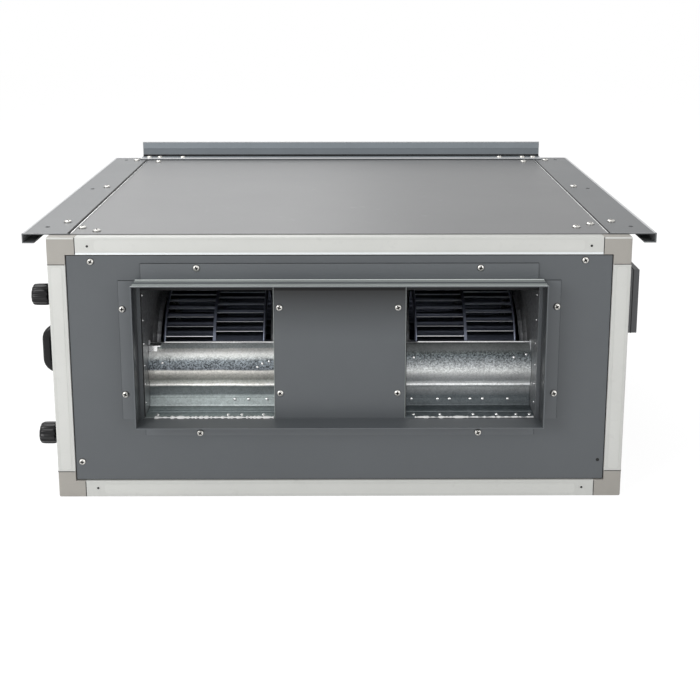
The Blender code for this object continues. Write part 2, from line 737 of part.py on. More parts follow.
def wheel_mesh():
    """Build a double-inlet wheel: two rims, a centre disc with its hub, and two rows of blades."""
    half = WHEEL_WIDTH / 2
    core = turned("wheel", disc_profile(), BLADE_COUNT, bored=True)
    wheel = add("wheel_core", core, "blade_steel")
    fuse(wheel, blade_row(-half + RIM_WIDTH / 2, -DISC_SHEET / 4, 0.0))
    fuse(wheel, blade_row(DISC_SHEET / 4, half - RIM_WIDTH / 2, 0.5))
    for sign in (-1, 1):
        fuse(wheel, rim_mesh(sign * (half - RIM_WIDTH), sign * half))
    graph = bpy.context.evaluated_depsgraph_get()
    mesh = bpy.data.meshes.new_from_object(wheel.evaluated_get(graph))
    for tool in list(wheel.children) + [wheel]:
        bpy.data.objects.remove(tool, do_unlink=True)
    mesh.name = "blower_wheel"
    return mesh


def disc_profile():
    """Return the section of the centre disc with its bored hub."""
    bore = SHAFT_RADIUS + SEAT
    hub = HUB_LENGTH / 2
    disc = DISC_SHEET / 2
    return [(-hub, bore), (-hub, HUB_NOSE_RADIUS), (-disc, HUB_RADIUS), (-disc, WHEEL_RADIUS),
            (disc, WHEEL_RADIUS), (disc, HUB_RADIUS), (hub, HUB_NOSE_RADIUS), (hub, bore)]


def rim_mesh(first, last):
    """Build one end ring that ties the blade tips together."""
    inner = WHEEL_RADIUS - BLADE_CHORD - BLADE_INSET * 2
    loops = [circle(WHEEL_RADIUS, BLADE_COUNT), circle(inner, BLADE_COUNT)]
    return prism("rim", loops, (Y, Z, X), (min(first, last), max(first, last)), smooth=True)


def blade_row(first, last, shift):
    """Build a row of blades as one mesh of separate blades."""
    bm = bmesh.new()
    for i in range(BLADE_COUNT):
        outline = blade_outline(2 * math.pi * (i + shift) / BLADE_COUNT)
        blade = prism("blade", [outline], (Y, Z, X), (first, last))
        bm.from_mesh(blade)
        bpy.data.meshes.remove(blade)
    return to_mesh(bm, "blade_row")


def blowers():
    """Place the two scroll housings round the wheels' common axle."""
    for side, sign in (("left", -1), ("right", 1)):
        centre = empty(f"{side}_blower", AXLE + X * sign * FAN_PITCH / 2)
        side_plate(f"{side}_scroll_side_outer", centre, sign)
        side_plate(f"{side}_scroll_side_inner", centre, -sign)
        scroll_wrap(f"{side}_scroll_wrap", centre)
        tongue_plate(f"{side}_tongue_plate", centre)


def rotor():
    """Hang both wheels and the motor's through shaft on one axle."""
    axle = empty("rotor_axle", AXLE)
    mesh = wheel_mesh()
    for side, sign in (("left", -1), ("right", 1)):
        add(f"{side}_blower_wheel", mesh, None, X * sign * FAN_PITCH / 2, axle)
    reach = FAN_PITCH / 2 + SHAFT_END
    shaft = rod("motor_shaft", SHAFT_RADIUS, 16, (Y, Z, X), (-reach, reach))
    add("motor_shaft", shaft, "shaft_steel", parent=axle)


def motor():
    """Place the closed double-shaft motor between the blowers."""
    half = MOTOR_LENGTH / 2
    bore = SHAFT_RADIUS + SEAT
    right = [(half + MOTOR_NOSE, bore), (half + MOTOR_NOSE, MOTOR_NOSE_RADIUS), (half, MOTOR_NOSE_ROOT)]
    right += [(half - MOTOR_END_DISH, MOTOR_END_RADIUS), (half - MOTOR_CHAMFER, MOTOR_RADIUS)]
    profile = right + [(-x, r) for x, r in reversed(right)]
    add("motor", turned("motor", profile, MOTOR_SIDES, bored=True), "motor_enamel", AXLE)


def motor_cradle():
    """Fold the sheet cradle: two feet on the floor, two legs and a saddle under the motor."""
    radius = (MOTOR_RADIUS + SEAT) / math.cos(math.radians(SADDLE_STEP / 2))
    foot = FLOOR_TOP + SEAT - AXLE_HEIGHT
    first, last = SADDLE_ANGLES
    turns = [math.radians(a) for a in range(first, last + 1, SADDLE_STEP)]
    saddle = [(radius * math.cos(a), radius * math.sin(a)) for a in turns]
    left = [(-CRADLE_SPREAD - CRADLE_FOOT, foot + CRADLE_SHEET), (-CRADLE_SPREAD, foot + CRADLE_SHEET)]
    right = [(-y, z) for y, z in reversed(left)]
    outline = folded(left + saddle + right, CRADLE_SHEET)
    half = CRADLE_LENGTH / 2
    mesh = prism("motor_cradle", [outline], (Y, Z, X), (-half, half), smooth=True)
    add("motor_cradle", mesh, "galvanised", AXLE)


def access_door(hinge):
    """Hang the door tray on its hinge axis, with a hole for each latch spindle."""
    low = Vector((-DOOR_FACE, DOOR_FRONT, PANEL_BOTTOM)) - Vector(hinge.location)
    high = Vector((-DOOR_BACK, DOOR_REAR, PANEL_TOP)) - Vector(hinge.location)
    skin = tray("access_door", low, high, (0, 1), SHEET)
    door = add("access_door", skin, "panel_grey", parent=hinge)
    for height in KNOB_HEIGHTS:
        span = (low.x - SHEET, low.x + PANEL_THICK / 2)
        centre = (low.y + KNOB_SETBACK, height)
        cut(door, rod("latch_hole", SPINDLE_RADIUS + SEAT, 12, (Y, Z, X), span, centre))


def latch_knob(name, hinge, height):
    """Place a fluted knob with its neck, spindle and pawl, released as at rest."""
    place = Vector((-DOOR_FACE, DOOR_FRONT + KNOB_SETBACK, height)) - Vector(hinge.location)
    head = []
    for i in range(KNOB_LOBES * 4):
        turn = 2 * math.pi * i / (KNOB_LOBES * 4)
        radius = KNOB_RADIUS - KNOB_FLUTE * (1 - math.cos(KNOB_LOBES * turn)) / 2
        head.append((radius * math.cos(turn), radius * math.sin(turn)))
    neck = -KNOB_NECK
    axes = (Y, Z, X)
    mesh = prism(name, [head], axes, (neck - KNOB_HEAD, neck), smooth=True)
    knob = add(name, mesh, "black_plastic", place, hinge)
    fuse(knob, rod("neck", KNOB_NECK_RADIUS, 16, axes, (neck - SHEET, -SEAT)))
    inside = LIP_BACK - PANEL_RECESS + PAWL_CLEARANCE
    fuse(knob, rod("spindle", SPINDLE_RADIUS, 12, axes, (-SHEET, inside + SHEET)))
    half = PAWL_WIDTH / 2
    pawl = prism("pawl", [rectangle(-half, -half, half, PAWL_LENGTH)], axes, (inside, inside + PAWL_SHEET))
    fuse(knob, pawl)


def door_handle(hinge):
    """Bend the bridge handle that stands off the door on two feet."""
    half = HANDLE_LENGTH / 2
    near = -SEAT
    far = -HANDLE_REACH
    bar = HANDLE_BAR
    slope = HANDLE_SLOPE
    outer = [(near, -half), (far + slope, -half), (far, -half + slope)]
    inner = [(near, -half + bar), (far + bar + slope, -half + bar), (far + bar, -half + bar + slope)]
    outline = outer + [(x, -z) for x, z in reversed(outer)]
    outline += [(x, -z) for x, z in inner] + list(reversed(inner))
    width = HANDLE_WIDTH / 2
    mesh = prism("door_handle", [outline], (X, Z, Y), (-width, width))
    place = Vector((-DOOR_FACE, DOOR_FRONT + HANDLE_SETBACK, HANDLE_HEIGHT))
    add("door_handle", mesh, "black_plastic", place - Vector(hinge.location), hinge)


def hinge_outline(leaf_face, sign):
    """Return a hinge half's section round its axis: a knuckle with a flat leaf on one side."""
    near = leaf_face - HINGE_X
    far = KNUCKLE_RADIUS - HINGE_SHEET
    tip = sign * HINGE_LEAF
    start = math.asin(far / KNUCKLE_RADIUS)
    sweep = start + 1.5 * math.pi
    turns = [start - sweep * i / KNUCKLE_STEPS for i in range(KNUCKLE_STEPS + 1)]
    knuckle = [(KNUCKLE_RADIUS * math.sin(a), sign * KNUCKLE_RADIUS * math.cos(a)) for a in turns]
    return [(near, tip), (far, tip)] + knuckle + [(near, sign * SEAT)]


def hinges(hinge):
    """Place two lift-off hinges: a frame half with its pin and a door half over it."""
    axes = (X, Y, Z)
    for level, height in zip(("lower", "upper"), HINGE_HEIGHTS):
        place = Vector((HINGE_X, HINGE_Y, height))
        name = f"{level}_hinge_frame_half"
        outline = hinge_outline(-SIDE - SEAT, 1)
        half = add(name, prism(name, [outline], axes, (0, HINGE_HALF), True), "shaft_steel", place)
        span = (HINGE_HALF / 2, HINGE_HALF * 2 - HINGE_PIN_SHORT)
        fuse(half, rod("hinge_pin", HINGE_PIN_RADIUS, 12, axes, span))
        name = f"{level}_hinge_door_half"
        outline = hinge_outline(-DOOR_FACE - SEAT, -1)
        bore = circle(HINGE_PIN_RADIUS + SEAT, 12, turn=math.pi / 12)
        span = (HINGE_HALF + SEAT, HINGE_HALF * 2)
        mesh = prism(name, [outline, bore], axes, span, True)
        add(name, mesh, "shaft_steel", Z * height, hinge)


def door_group():
    """Place the access door with everything that swings with it."""
    hinge = empty("door_hinge_axis", (HINGE_X, HINGE_Y, 0))
    access_door(hinge)
    door_handle(hinge)
    for level, height in zip(("lower", "upper"), KNOB_HEIGHTS):
        latch_knob(f"{level}_latch_knob", hinge, height)
    hinges(hinge)


def terminal_box():
    """Place the open terminal box on the right panel and its lid with a turned edge."""
    near = DOOR_FACE + SEAT
    far = SIDE + BOX_REACH
    low = (near, FRONT + BOX_FRONT, BOX_BOTTOM)
    high = (far - BOX_LID - SEAT, FRONT + BOX_FRONT + BOX_LENGTH, BOX_BOTTOM + BOX_HEIGHT)
    add("terminal_box", tray("terminal_box", low, high, (0, 1), BOX_SHEET), "box_grey")
    low = (far - BOX_LID, low[1], low[2])
    high = (far, high[1], high[2])
    add("terminal_box_lid", tray("terminal_box_lid", low, high, (0, -1), BOX_SHEET), "box_grey")


def zigzag(first, last, depth, pitch):
    """Return a path of whole sharp pleats between two places along X."""
    folds = 2 * max(1, round((last - first) / pitch))
    step = (last - first) / folds
    return [(first + step * i, depth * (i % 2 - 0.5)) for i in range(folds + 1)]


def corrugated(first, last, depth, pitch):
    """Return a path of whole square folds between two places along X."""
    folds = 2 * max(1, round((last - first) / pitch))
    step = (last - first) / folds
    path = [(first, 0)]
    for i in range(folds):
        level = depth * (i % 2 - 0.5)
        path += [(first + step * (i + 0.25), level), (first + step * (i + 0.75), level)]
    return path + [(last, 0)]


def air_filter():
    """Place the side-access filter: a box frame bonded round a pleated medium."""
    x0 = -DOOR_FACE
    corners = [(x0, FILTER_BOTTOM, -1, -1), (FILTER_RIGHT, FILTER_BOTTOM, 1, -1)]
    corners += [(FILTER_RIGHT, FILTER_TOP, 1, 1), (x0, FILTER_TOP, -1, 1)]
    half = FILTER_THICK / 2
    section = rectangle(-FILTER_BORDER, -half, 0, half)
    place = Vector((0, (FILTER_FRONT + FILTER_REAR) / 2, 0))
    panel = add("air_filter", swept("air_filter", section, corners, closed=True), "filter_white", place)
    edge = FILTER_BORDER / 2
    fold = zigzag(x0 + edge, FILTER_RIGHT - edge, PLEAT_DEPTH, PLEAT_PITCH)
    medium = prism("medium", [folded(fold, PLEAT_SHEET)], (X, Y, Z),
                   (FILTER_BOTTOM + edge, FILTER_TOP - edge))
    fuse(panel, medium)


def filter_rack():
    """Fold the channel that holds the filter above, below and at its right end."""
    inner = SEAT
    outer = SEAT + RACK_SHEET
    front = FILTER_FRONT - SEAT
    back = FILTER_REAR + SEAT
    section = [(-RACK_FLANGE, front - RACK_SHEET), (-RACK_FLANGE, front), (inner, front)]
    section += [(inner, back), (-RACK_FLANGE, back), (-RACK_FLANGE, back + RACK_SHEET)]
    section += [(RACK_SPREAD, back + RACK_SHEET), (RACK_SPREAD, back), (outer, back)]
    section += [(outer, front - RACK_SHEET)]
    x0 = -SIDE + BAR + SEAT
    stations = [(x0, FILTER_BOTTOM, 0, -1), (FILTER_RIGHT, FILTER_BOTTOM, 1, -1)]
    stations += [(FILTER_RIGHT, FILTER_TOP, 1, 1), (x0, FILTER_TOP, 0, 1)]
    add("filter_rack", swept("filter_rack", section, stations), "galvanised")


def stub_places():
    """Return the (y, z) places of the two water stubs on the left side."""
    middle = COIL_FRONT + COIL_THICK / 2
    inset = COIL_THICK / 2 - STUB_INSET
    return [(middle - inset, STUB_HEIGHTS[0]), (middle + inset, STUB_HEIGHTS[1])]


def drain_place():
    """Return the (y, z) place of the drain stub on the left side."""
    return (COIL_FRONT + COIL_THICK / 2, FLOOR_TOP + SEAT + PAN_FLOOR + DRAIN_RISE)


def coil():
    """Place the coil: end plates, a folded fin pack, two headers and their open stubs."""
    half = COIL_THICK / 2
    bottom = FLOOR_TOP + SEAT + PAN_FLOOR + PAN_SHEET + SEAT
    plate = (0, COIL_FRONT, bottom), (COIL_SHEET, COIL_REAR, COIL_TOP)
    left = -COIL_HALF_LENGTH
    body = add("coil", box("coil", *[(left + x, y, z) for x, y, z in plate]), "fin_aluminium")
    right = COIL_HALF_LENGTH - COIL_SHEET
    fuse(body, box("end_plate", *[(right + x, y, z) for x, y, z in plate]))
    ends = (left + COIL_SHEET / 2, right + COIL_SHEET / 2)
    fold = corrugated(*ends, COIL_THICK - FIN_INSET * 2, FIN_PITCH)
    outline = [(x, y + COIL_FRONT + half) for x, y in folded(fold, FIN_SHEET)]
    fuse(body, prism("fins", [outline], (X, Y, Z), (bottom + FIN_MARGIN, COIL_TOP - FIN_MARGIN)))
    for y, z in stub_places():
        header_x = left - HEADER_RADIUS - HEADER_GAP
        centre = (header_x, y)
        span = (FLOOR_TOP + SEAT + PAN_DEPTH + FIN_MARGIN, COIL_TOP - HEADER_MARGIN)
        fuse(body, rod("header", HEADER_RADIUS, PIPE_SIDES, (X, Y, Z), span, centre))
        for end in (span[0] + HEADER_RADIUS * 2, span[1] - HEADER_RADIUS * 2):
            feeder = (header_x, left + COIL_SHEET / 2)
            fuse(body, rod("feeder", HEADER_RADIUS / 2, 8, (Y, Z, X), feeder, (y, end)))
        reach = (-SIDE - STUB_REACH, header_x)
        fuse(body, rod("stub", HEADER_RADIUS - PIPE_WALL / 2, PIPE_SIDES, (Y, Z, X), reach, (y, z)))
        bore = (reach[0] - SHEET, header_x - HEADER_RADIUS / 2)
        cut(body, rod("bore", HEADER_RADIUS - PIPE_WALL * 2, PIPE_SIDES, (Y, Z, X), bore, (y, z)))


def drain_pan():
    """Shape the drain pan: a tray raised on its skirts, with an open stub on the left."""
    x = COIL_HALF_LENGTH + PAN_END
    y0 = COIL_FRONT - PAN_MARGIN
    y1 = COIL_REAR + PAN_MARGIN
    z0 = FLOOR_TOP + SEAT
    floor = z0 + PAN_FLOOR
    sheet = PAN_SHEET
    pan = add("drain_pan", box("drain_pan", (-x, y0, z0), (x, y1, z0 + PAN_DEPTH)), "galvanised")
    inner_low = (-x + sheet, y0 + sheet)
    inner_high = (x - sheet, y1 - sheet)
    cut(pan, box("basin", (*inner_low, floor + sheet), (*inner_high, z0 + PAN_DEPTH + sheet)))
    cut(pan, box("skirt", (*inner_low, z0 - sheet), (*inner_high, floor)))
    place = drain_place()
    reach = (-SIDE - STUB_REACH, -x + sheet / 2)
    fuse(pan, rod("stub", DRAIN_RADIUS, PIPE_SIDES, (Y, Z, X), reach, place))
    bore = (reach[0] - sheet, -x + sheet * 2)
    cut(pan, rod("bore", DRAIN_RADIUS - PIPE_WALL, PIPE_SIDES, (Y, Z, X), bore, place))


def main():
    """Build the whole unit."""
    clear_scene()
    frame_corners()
    frame_bars()
    floor_panel()
    front_panel()
    side_panels()
    side_mullion()
    top_panel()
    hanger_rails()
    rear_top_angle()
    collar()
    blowers()
    rotor()
    motor()
    motor_cradle()
    door_group()
    terminal_box()
    air_filter()
    filter_rack()
    coil()
    drain_pan()
    bpy.context.view_layer.update()


main()
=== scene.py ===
"""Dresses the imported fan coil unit: finishes, fasteners, bladed wheels, coil, filter and door fittings.

Run as a script. Lengths are metres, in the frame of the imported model: X runs along the front, Y from the
air outlets to the return side and Z up.
"""

import json
import math

import bpy
import numpy as np
from bpy.props import FloatProperty, FloatVectorProperty, IntProperty, PointerProperty
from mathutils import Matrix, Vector


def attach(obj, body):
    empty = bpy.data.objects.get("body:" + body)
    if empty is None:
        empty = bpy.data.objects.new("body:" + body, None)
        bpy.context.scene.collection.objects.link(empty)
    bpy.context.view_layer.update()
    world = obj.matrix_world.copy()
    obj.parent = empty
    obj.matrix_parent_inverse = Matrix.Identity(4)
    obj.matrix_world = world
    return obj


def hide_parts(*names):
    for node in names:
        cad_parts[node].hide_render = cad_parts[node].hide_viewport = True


bl_info = {
    "name": "Fan Coil Unit",
    "version": (1, 0, 0),
    "blender": (4, 5, 0),
    "location": "3D View > Sidebar > Fan Coil",
    "description": "Dresses a ducted fan coil unit and sets its stage",
    "category": "Object",
}

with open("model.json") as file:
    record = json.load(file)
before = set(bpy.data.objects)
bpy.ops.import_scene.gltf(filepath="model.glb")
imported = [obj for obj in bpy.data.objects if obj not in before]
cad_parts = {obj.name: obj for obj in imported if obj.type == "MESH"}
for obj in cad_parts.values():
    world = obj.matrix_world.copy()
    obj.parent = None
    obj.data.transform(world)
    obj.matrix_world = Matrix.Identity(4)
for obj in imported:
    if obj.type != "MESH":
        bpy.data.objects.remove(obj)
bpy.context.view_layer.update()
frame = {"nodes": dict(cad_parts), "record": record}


# Properties


def length(name, description, default):
    """A length that a user may change."""
    return FloatProperty(name=name, description=description, default=default, unit="LENGTH")


def colour(name, description, default):
    """A linear colour that a user may change."""
    return FloatVectorProperty(
        name=name, description=description, default=default, size=3, subtype="COLOR", min=0.0, max=1.0
    )


class FanCoilSizes(bpy.types.PropertyGroup):
    """Sizes of the small parts."""

    screw_head: length("Screw head", "Diameter of a panel screw's head", 0.0128)
    screw_rise: length("Screw rise", "Height of a panel screw's head", 0.004)
    roof_screw: length("Roof screw", "Diameter of a roof screw's head", 0.015)
    blades: IntProperty(name="Blades", description="Blades in one row of a wheel", default=39, min=12, max=80)
    blade_sheet: length("Blade sheet", "Thickness of a blade", 0.0008)
    fin_pitch: length("Fin pitch", "Distance from one coil fin to the next", 0.0032)
    pleat_pitch: length("Pleat pitch", "Distance from one filter pleat to the next", 0.02)


class FanCoilColours(bpy.types.PropertyGroup):
    """Colours of the finishes."""

    enamel: colour("Enamel", "Off-white frame bars", (0.62, 0.625, 0.6))
    corner: colour("Corner", "Moulded corner pieces", (0.375, 0.358, 0.328))
    panel: colour("Panel", "Dark grey coat of the panels", (0.098, 0.107, 0.115))
    roof: colour("Roof", "Grey coat of the roof and the rails", (0.16, 0.162, 0.165))
    rail: colour("Rail", "Blue-grey coat of the hanger rails", (0.122, 0.128, 0.133))
    angle: colour("Angle", "Blue-grey coat of the rear angle", (0.195, 0.218, 0.238))
    zinc: colour("Zinc", "Galvanised sheet", (0.62, 0.63, 0.645))
    black: colour("Black", "Knobs and handle", (0.012, 0.012, 0.013))
    box: colour("Box", "Terminal box", (0.085, 0.087, 0.092))
    copper: colour("Copper", "Coil tubes", (0.72, 0.36, 0.2))
    medium: colour("Medium", "Filter cloth", (0.74, 0.75, 0.73))


# Shader expressions


def arithmetic(operation, swapped=False):
    """An operator that adds one Math node of a wire and another value."""
    return lambda wire, other: wire.math(operation, *((other, wire) if swapped else (wire, other)))


class Wire:
    """An output socket. Python's operators on it add Math nodes, on numbers only."""

    def __init__(self, net, socket):
        self.net = net
        self.socket = socket

    def math(self, operation, *values):
        """One Math node."""
        return self.net.node("ShaderNodeMath", {"operation": operation}, dict(enumerate(values)))

    __add__, __radd__ = arithmetic("ADD"), arithmetic("ADD", True)
    __sub__, __rsub__ = arithmetic("SUBTRACT"), arithmetic("SUBTRACT", True)
    __mul__, __rmul__ = arithmetic("MULTIPLY"), arithmetic("MULTIPLY", True)
    __truediv__, __pow__ = arithmetic("DIVIDE"), arithmetic("POWER")

    def clamp(self):
        """The value held between 0 and 1."""
        return self.net.node("ShaderNodeClamp", {}, {"Value": self})


class Net:
    """The node tree of one material or world, emptied first."""

    def __init__(self, owner):
        self.owner = owner
        owner.use_nodes = True
        self.tree = owner.node_tree
        self.tree.nodes.clear()

    def node(self, kind, settings, sockets, output=0):
        """A node of that type: its settings are set first, then the values or links of its sockets."""
        node = self.tree.nodes.new(kind)
        for key, value in settings.items():
            if key == "stops":
                self.stops(node.color_ramp, value)
            else:
                setattr(node, key, value)
        for key, value in sockets.items():
            if isinstance(value, Wire):
                self.tree.links.new(value.socket, node.inputs[key])
            elif value is not None:
                node.inputs[key].default_value = value
        return Wire(self, node.outputs[output]) if len(node.outputs) else node

    @staticmethod
    def stops(ramp, stops):
        """Sets a ramp's stops from pairs of position and colour."""
        for index, (position, tone) in enumerate(stops):
            element = ramp.elements[index] if index < 2 else ramp.elements.new(position)
            element.position = position
            element.color = (*tone, 1.0)

    def place(self):
        """Object coordinates, in metres."""
        return self.node("ShaderNodeTexCoord", {}, {}, "Object")

    def stretch(self, scale):
        """Object coordinates, scaled along each axis."""
        return self.node("ShaderNodeMapping", {}, {"Vector": self.place(), "Scale": scale})

    def looked_at(self):
        """One where a camera, mirror or glass ray arrives, and nought where light is gathered."""
        rays = ("Is Camera Ray", "Is Glossy Ray", "Is Transmission Ray")
        first, second, third = (self.node("ShaderNodeLightPath", {}, {}, ray) for ray in rays)
        return (first + second + third).clamp()

    def noise(self, vector, scale, detail, roughness=0.55):
        """Soft noise from 0 to 1."""
        sockets = {"Vector": vector, "Scale": scale, "Detail": detail, "Roughness": roughness}
        return self.node("ShaderNodeTexNoise", {}, sockets)

    def cells(self, vector, scale, output="Color"):
        """Crystal cells, each of one random colour."""
        return self.node("ShaderNodeTexVoronoi", {}, {"Vector": vector, "Scale": scale}, output)

    def ramp(self, value, low, high, start=0.0, end=1.0):
        """The value carried from one range to another, and held there."""
        sockets = {"Value": value, "From Min": low, "From Max": high, "To Min": start, "To Max": end}
        return self.node("ShaderNodeMapRange", {"clamp": True}, sockets)

    def grey(self, wire):
        """The first channel of a colour."""
        return self.node("ShaderNodeSeparateColor", {}, {"Color": wire}, 0)

    def tint(self, value, low, high):
        """A number as a grey between two levels."""
        return self.mix(value, (low, low, low), (high, high, high))

    def mix(self, factor, first, second):
        """Two colours, mixed."""
        sockets = {0: factor, 6: self.rgba(first), 7: self.rgba(second)}
        return self.node("ShaderNodeMix", {"data_type": "RGBA"}, sockets, 2)

    def multiply(self, factor, first, second):
        """The first colour, multiplied by the second as far as the factor says."""
        settings = {"data_type": "RGBA", "blend_type": "MULTIPLY"}
        return self.node("ShaderNodeMix", settings, {0: factor, 6: first, 7: second}, 2)

    @staticmethod
    def rgba(value):
        """A colour with its alpha, or the wire as it is."""
        return value if isinstance(value, Wire) else (*value[:3], 1.0)

    def bump(self, height, distance, strength):
        """A normal from a height in steps of a distance."""
        return self.node("ShaderNodeBump", {}, {"Strength": strength, "Distance": distance, "Height": height})

    def finish(self, base, roughness, metallic, normal, **others):
        """The surface shader; its other sockets go by name."""
        named = {key.replace("_", " "): value for key, value in others.items()}
        named["Base Color"], named["Normal"] = self.rgba(base), normal
        named["Roughness"], named["Metallic"] = roughness, metallic
        shader = self.node("ShaderNodeBsdfPrincipled", {}, named)
        self.node("ShaderNodeOutputMaterial", {}, {"Surface": shader})
        return self.owner


def shade(tone, factor):
    """A colour made lighter or darker."""
    return tuple(min(1.0, channel * factor) for channel in tone)


def fresh(name):
    """The empty net of a new material."""
    return Net(bpy.data.materials.new(name))


def coated(name, tone, roughness=0.42, shadow=None):
    """Powder-coated sheet: a fine orange peel, faint clouds of tone and a few rubbed marks.

    A shadow is a pair of heights: the tone falls between them, as the share of the way up to the power 1.4.
    """
    net = fresh(name)
    place = net.place()
    cloud = net.noise(place, 5.0, 4.0)
    speck = net.noise(place, 900.0, 2.0)
    rubbed = net.ramp(net.noise(net.stretch((3.0, 3.0, 14.0)), 9.0, 6.0, 0.7), 0.62, 0.78)
    base = net.mix(cloud, shade(tone, 0.9), shade(tone, 1.1))
    base = net.mix(rubbed * 0.25, base, shade(tone, 1.35))
    if shadow:
        height = net.node("ShaderNodeSeparateXYZ", {}, {"Vector": place}, 2)
        base = net.mix(net.ramp(height, *shadow) ** 1.4, base, shade(tone, 0.03))
    rough = roughness + (cloud - 0.5) * 0.14 + speck * 0.05 - rubbed * 0.06
    return net.finish(base, rough, 0.0, net.bump(net.noise(place, 650.0, 2.0), 0.00016, 0.35))


def enamelled(name, tone):
    """Enamelled aluminium profile: faint draw lines, a soft grey bloom and rare handling marks."""
    net = fresh(name)
    place = net.place()
    bloom = net.noise(place, 7.0, 5.0, 0.6)
    smudge = net.ramp(net.noise(net.stretch((1.0, 1.0, 1.0)), 42.0, 6.0, 0.65), 0.6, 0.8)
    grain = net.noise(place, 520.0, 2.0)
    base = net.mix(bloom, shade(tone, 0.93), shade(tone, 1.05))
    base = net.mix(smudge * 0.3, base, shade(tone, 0.72))
    rough = 0.36 + bloom * 0.1 + smudge * 0.12
    return net.finish(base, rough, 0.0, net.bump(grain, 0.00012, 0.3))


def moulded(name, tone, roughness=0.5, grain=0.0003, gloss=0.5):
    """Moulded plastic: a fine leathery grain and a little cloudiness."""
    net = fresh(name)
    place = net.place()
    cloud = net.noise(place, 14.0, 4.0)
    leather = net.noise(place, 1400.0, 3.0)
    base = net.mix(cloud, shade(tone, 0.9), shade(tone, 1.1))
    rough = roughness + (leather - 0.5) * 0.16
    return net.finish(base, rough, 0.0, net.bump(leather, grain, 0.4), Specular_IOR_Level=gloss)


def spangled(name, tone, roughness):
    """Galvanised sheet: crystals of two sizes, each with its own tone and gloss, under soft stains."""
    net = fresh(name)
    place = net.place()
    drift = net.node("ShaderNodeTexNoise", {}, {"Vector": place, "Scale": 160.0, "Detail": 2.0}, "Color")
    add = {"operation": "MULTIPLY_ADD"}
    bent = net.node("ShaderNodeVectorMath", add, {0: drift, 1: (0.009, 0.009, 0.009), 2: place})
    large, small = (net.grey(net.cells(bent, scale)) for scale in (170.0, 391.0))
    crystal = large * 0.62 + small * 0.38
    stain = net.noise(net.stretch((1.0, 1.0, 2.0)), 11.0, 6.0, 0.65)
    fine = net.noise(place, 700.0, 3.0)
    base = net.mix(crystal, shade(tone, 0.7), shade(tone, 1.165))
    base = net.mix(net.ramp(stain, 0.45, 0.75) * 0.45, base, shade(tone, 0.55))
    rough = roughness + (1.0 - crystal) * 0.22 + stain * 0.1
    return net.finish(base, rough, 0.92, net.bump(crystal * 0.6 + fine * 0.4, 0.00035, 0.5))


def metal(name, tone, roughness, along=(0.05, 1.0, 1.0), lines=420.0, spread=0.12):
    """Bare metal with fine lines along one axis and a slow change of tone."""
    net = fresh(name)
    drawn = net.noise(net.stretch(along), lines, 3.0)
    cloud = net.noise(net.place(), 18.0, 4.0)
    base = net.mix(cloud, shade(tone, 1.0 - spread), shade(tone, 1.0 + spread))
    rough = roughness + (drawn - 0.5) * 0.16 + cloud * 0.06
    return net.finish(base, rough, 1.0, net.bump(drawn, 0.00012, 0.35))


def tarnished(name, tone):
    """Copper tube: dark blooms of tarnish and drawn lines."""
    net = fresh(name)
    bloom = net.noise(net.place(), 60.0, 6.0, 0.65)
    base = net.mix(net.ramp(bloom, 0.4, 0.75), tone, shade(tone, 0.42))
    rough = 0.24 + net.ramp(bloom, 0.35, 0.8) * 0.3
    return net.finish(base, rough, 1.0, net.bump(net.noise(net.place(), 500.0, 2.0), 0.0001, 0.3))


def rolled(name, bands, frost):
    """Bright sheet that was pressed into ribs: bands across it of painted highlight and painted shade, under
    fine spangle.

    The bands are read from the mesh's own attribute, the share of the way across the sheet. Frost holds the
    shares between which dark crystals stand out, where they begin and end.
    """
    net = fresh(name)
    share = net.node("ShaderNodeAttribute", {"attribute_name": "share"}, {}, "Fac")
    wander = net.noise(net.stretch((9.0, 60.0, 60.0)), 1.0, 4.0, 0.6)
    stops = [(place / 1000.0, tuple(channel / 100.0 for channel in tone)) for place, *tone in bands]
    base = net.node("ShaderNodeValToRGB", {"stops": stops}, {"Fac": share + (wander - 0.5) * 0.022}, "Color")
    speck, large = (net.grey(net.cells(net.place(), scale)) for scale in (420.0, 150.0))
    streak = net.noise(net.stretch((2.0, 90.0, 90.0)), 3.0, 4.0, 0.6)
    spangle = speck * 0.6 + large * 0.4
    frosted = net.ramp(share, frost[0], frost[1]) - net.ramp(share, frost[2], frost[3])
    base = net.multiply(0.45, base, net.tint(spangle, 0.45, 1.25))
    base = net.multiply(frosted, base, net.tint(speck, 0.3, 1.55))
    rough = 0.24 + (1.0 - spangle) * 0.16 + streak * 0.1
    return net.finish(base, rough, 0.8, net.bump(spangle * 0.5 + streak * 0.5, 0.0004, 0.55))


def woven(name, tone):
    """Non-woven cloth: matted fibres in two directions over soft clouds of dust."""
    net = fresh(name)
    across = net.noise(net.stretch((1.0, 6.0, 1.0)), 900.0, 4.0, 0.7)
    upward = net.noise(net.stretch((6.0, 1.0, 1.0)), 800.0, 4.0, 0.7)
    fibre = across * 0.5 + upward * 0.5
    dust = net.noise(net.place(), 16.0, 5.0, 0.6)
    base = net.mix(fibre, shade(tone, 0.8), shade(tone, 1.08))
    base = net.mix(dust * 0.25, base, shade(tone, 0.7))
    normal = net.bump(fibre, 0.0006, 0.7)
    return net.finish(base, 0.86 + fibre * 0.1, 0.0, normal)


def foamed(name, tone):
    """Closed-cell foam strip: tiny cells and a matt skin."""
    net = fresh(name)
    pores = net.cells(net.place(), 900.0, "Distance")
    base = net.mix(pores, shade(tone, 0.7), shade(tone, 1.3))
    normal = net.bump(pores, 0.0004, 0.6)
    return net.finish(base, 0.9 - pores * 0.1, 0.0, normal)


# Surfaces


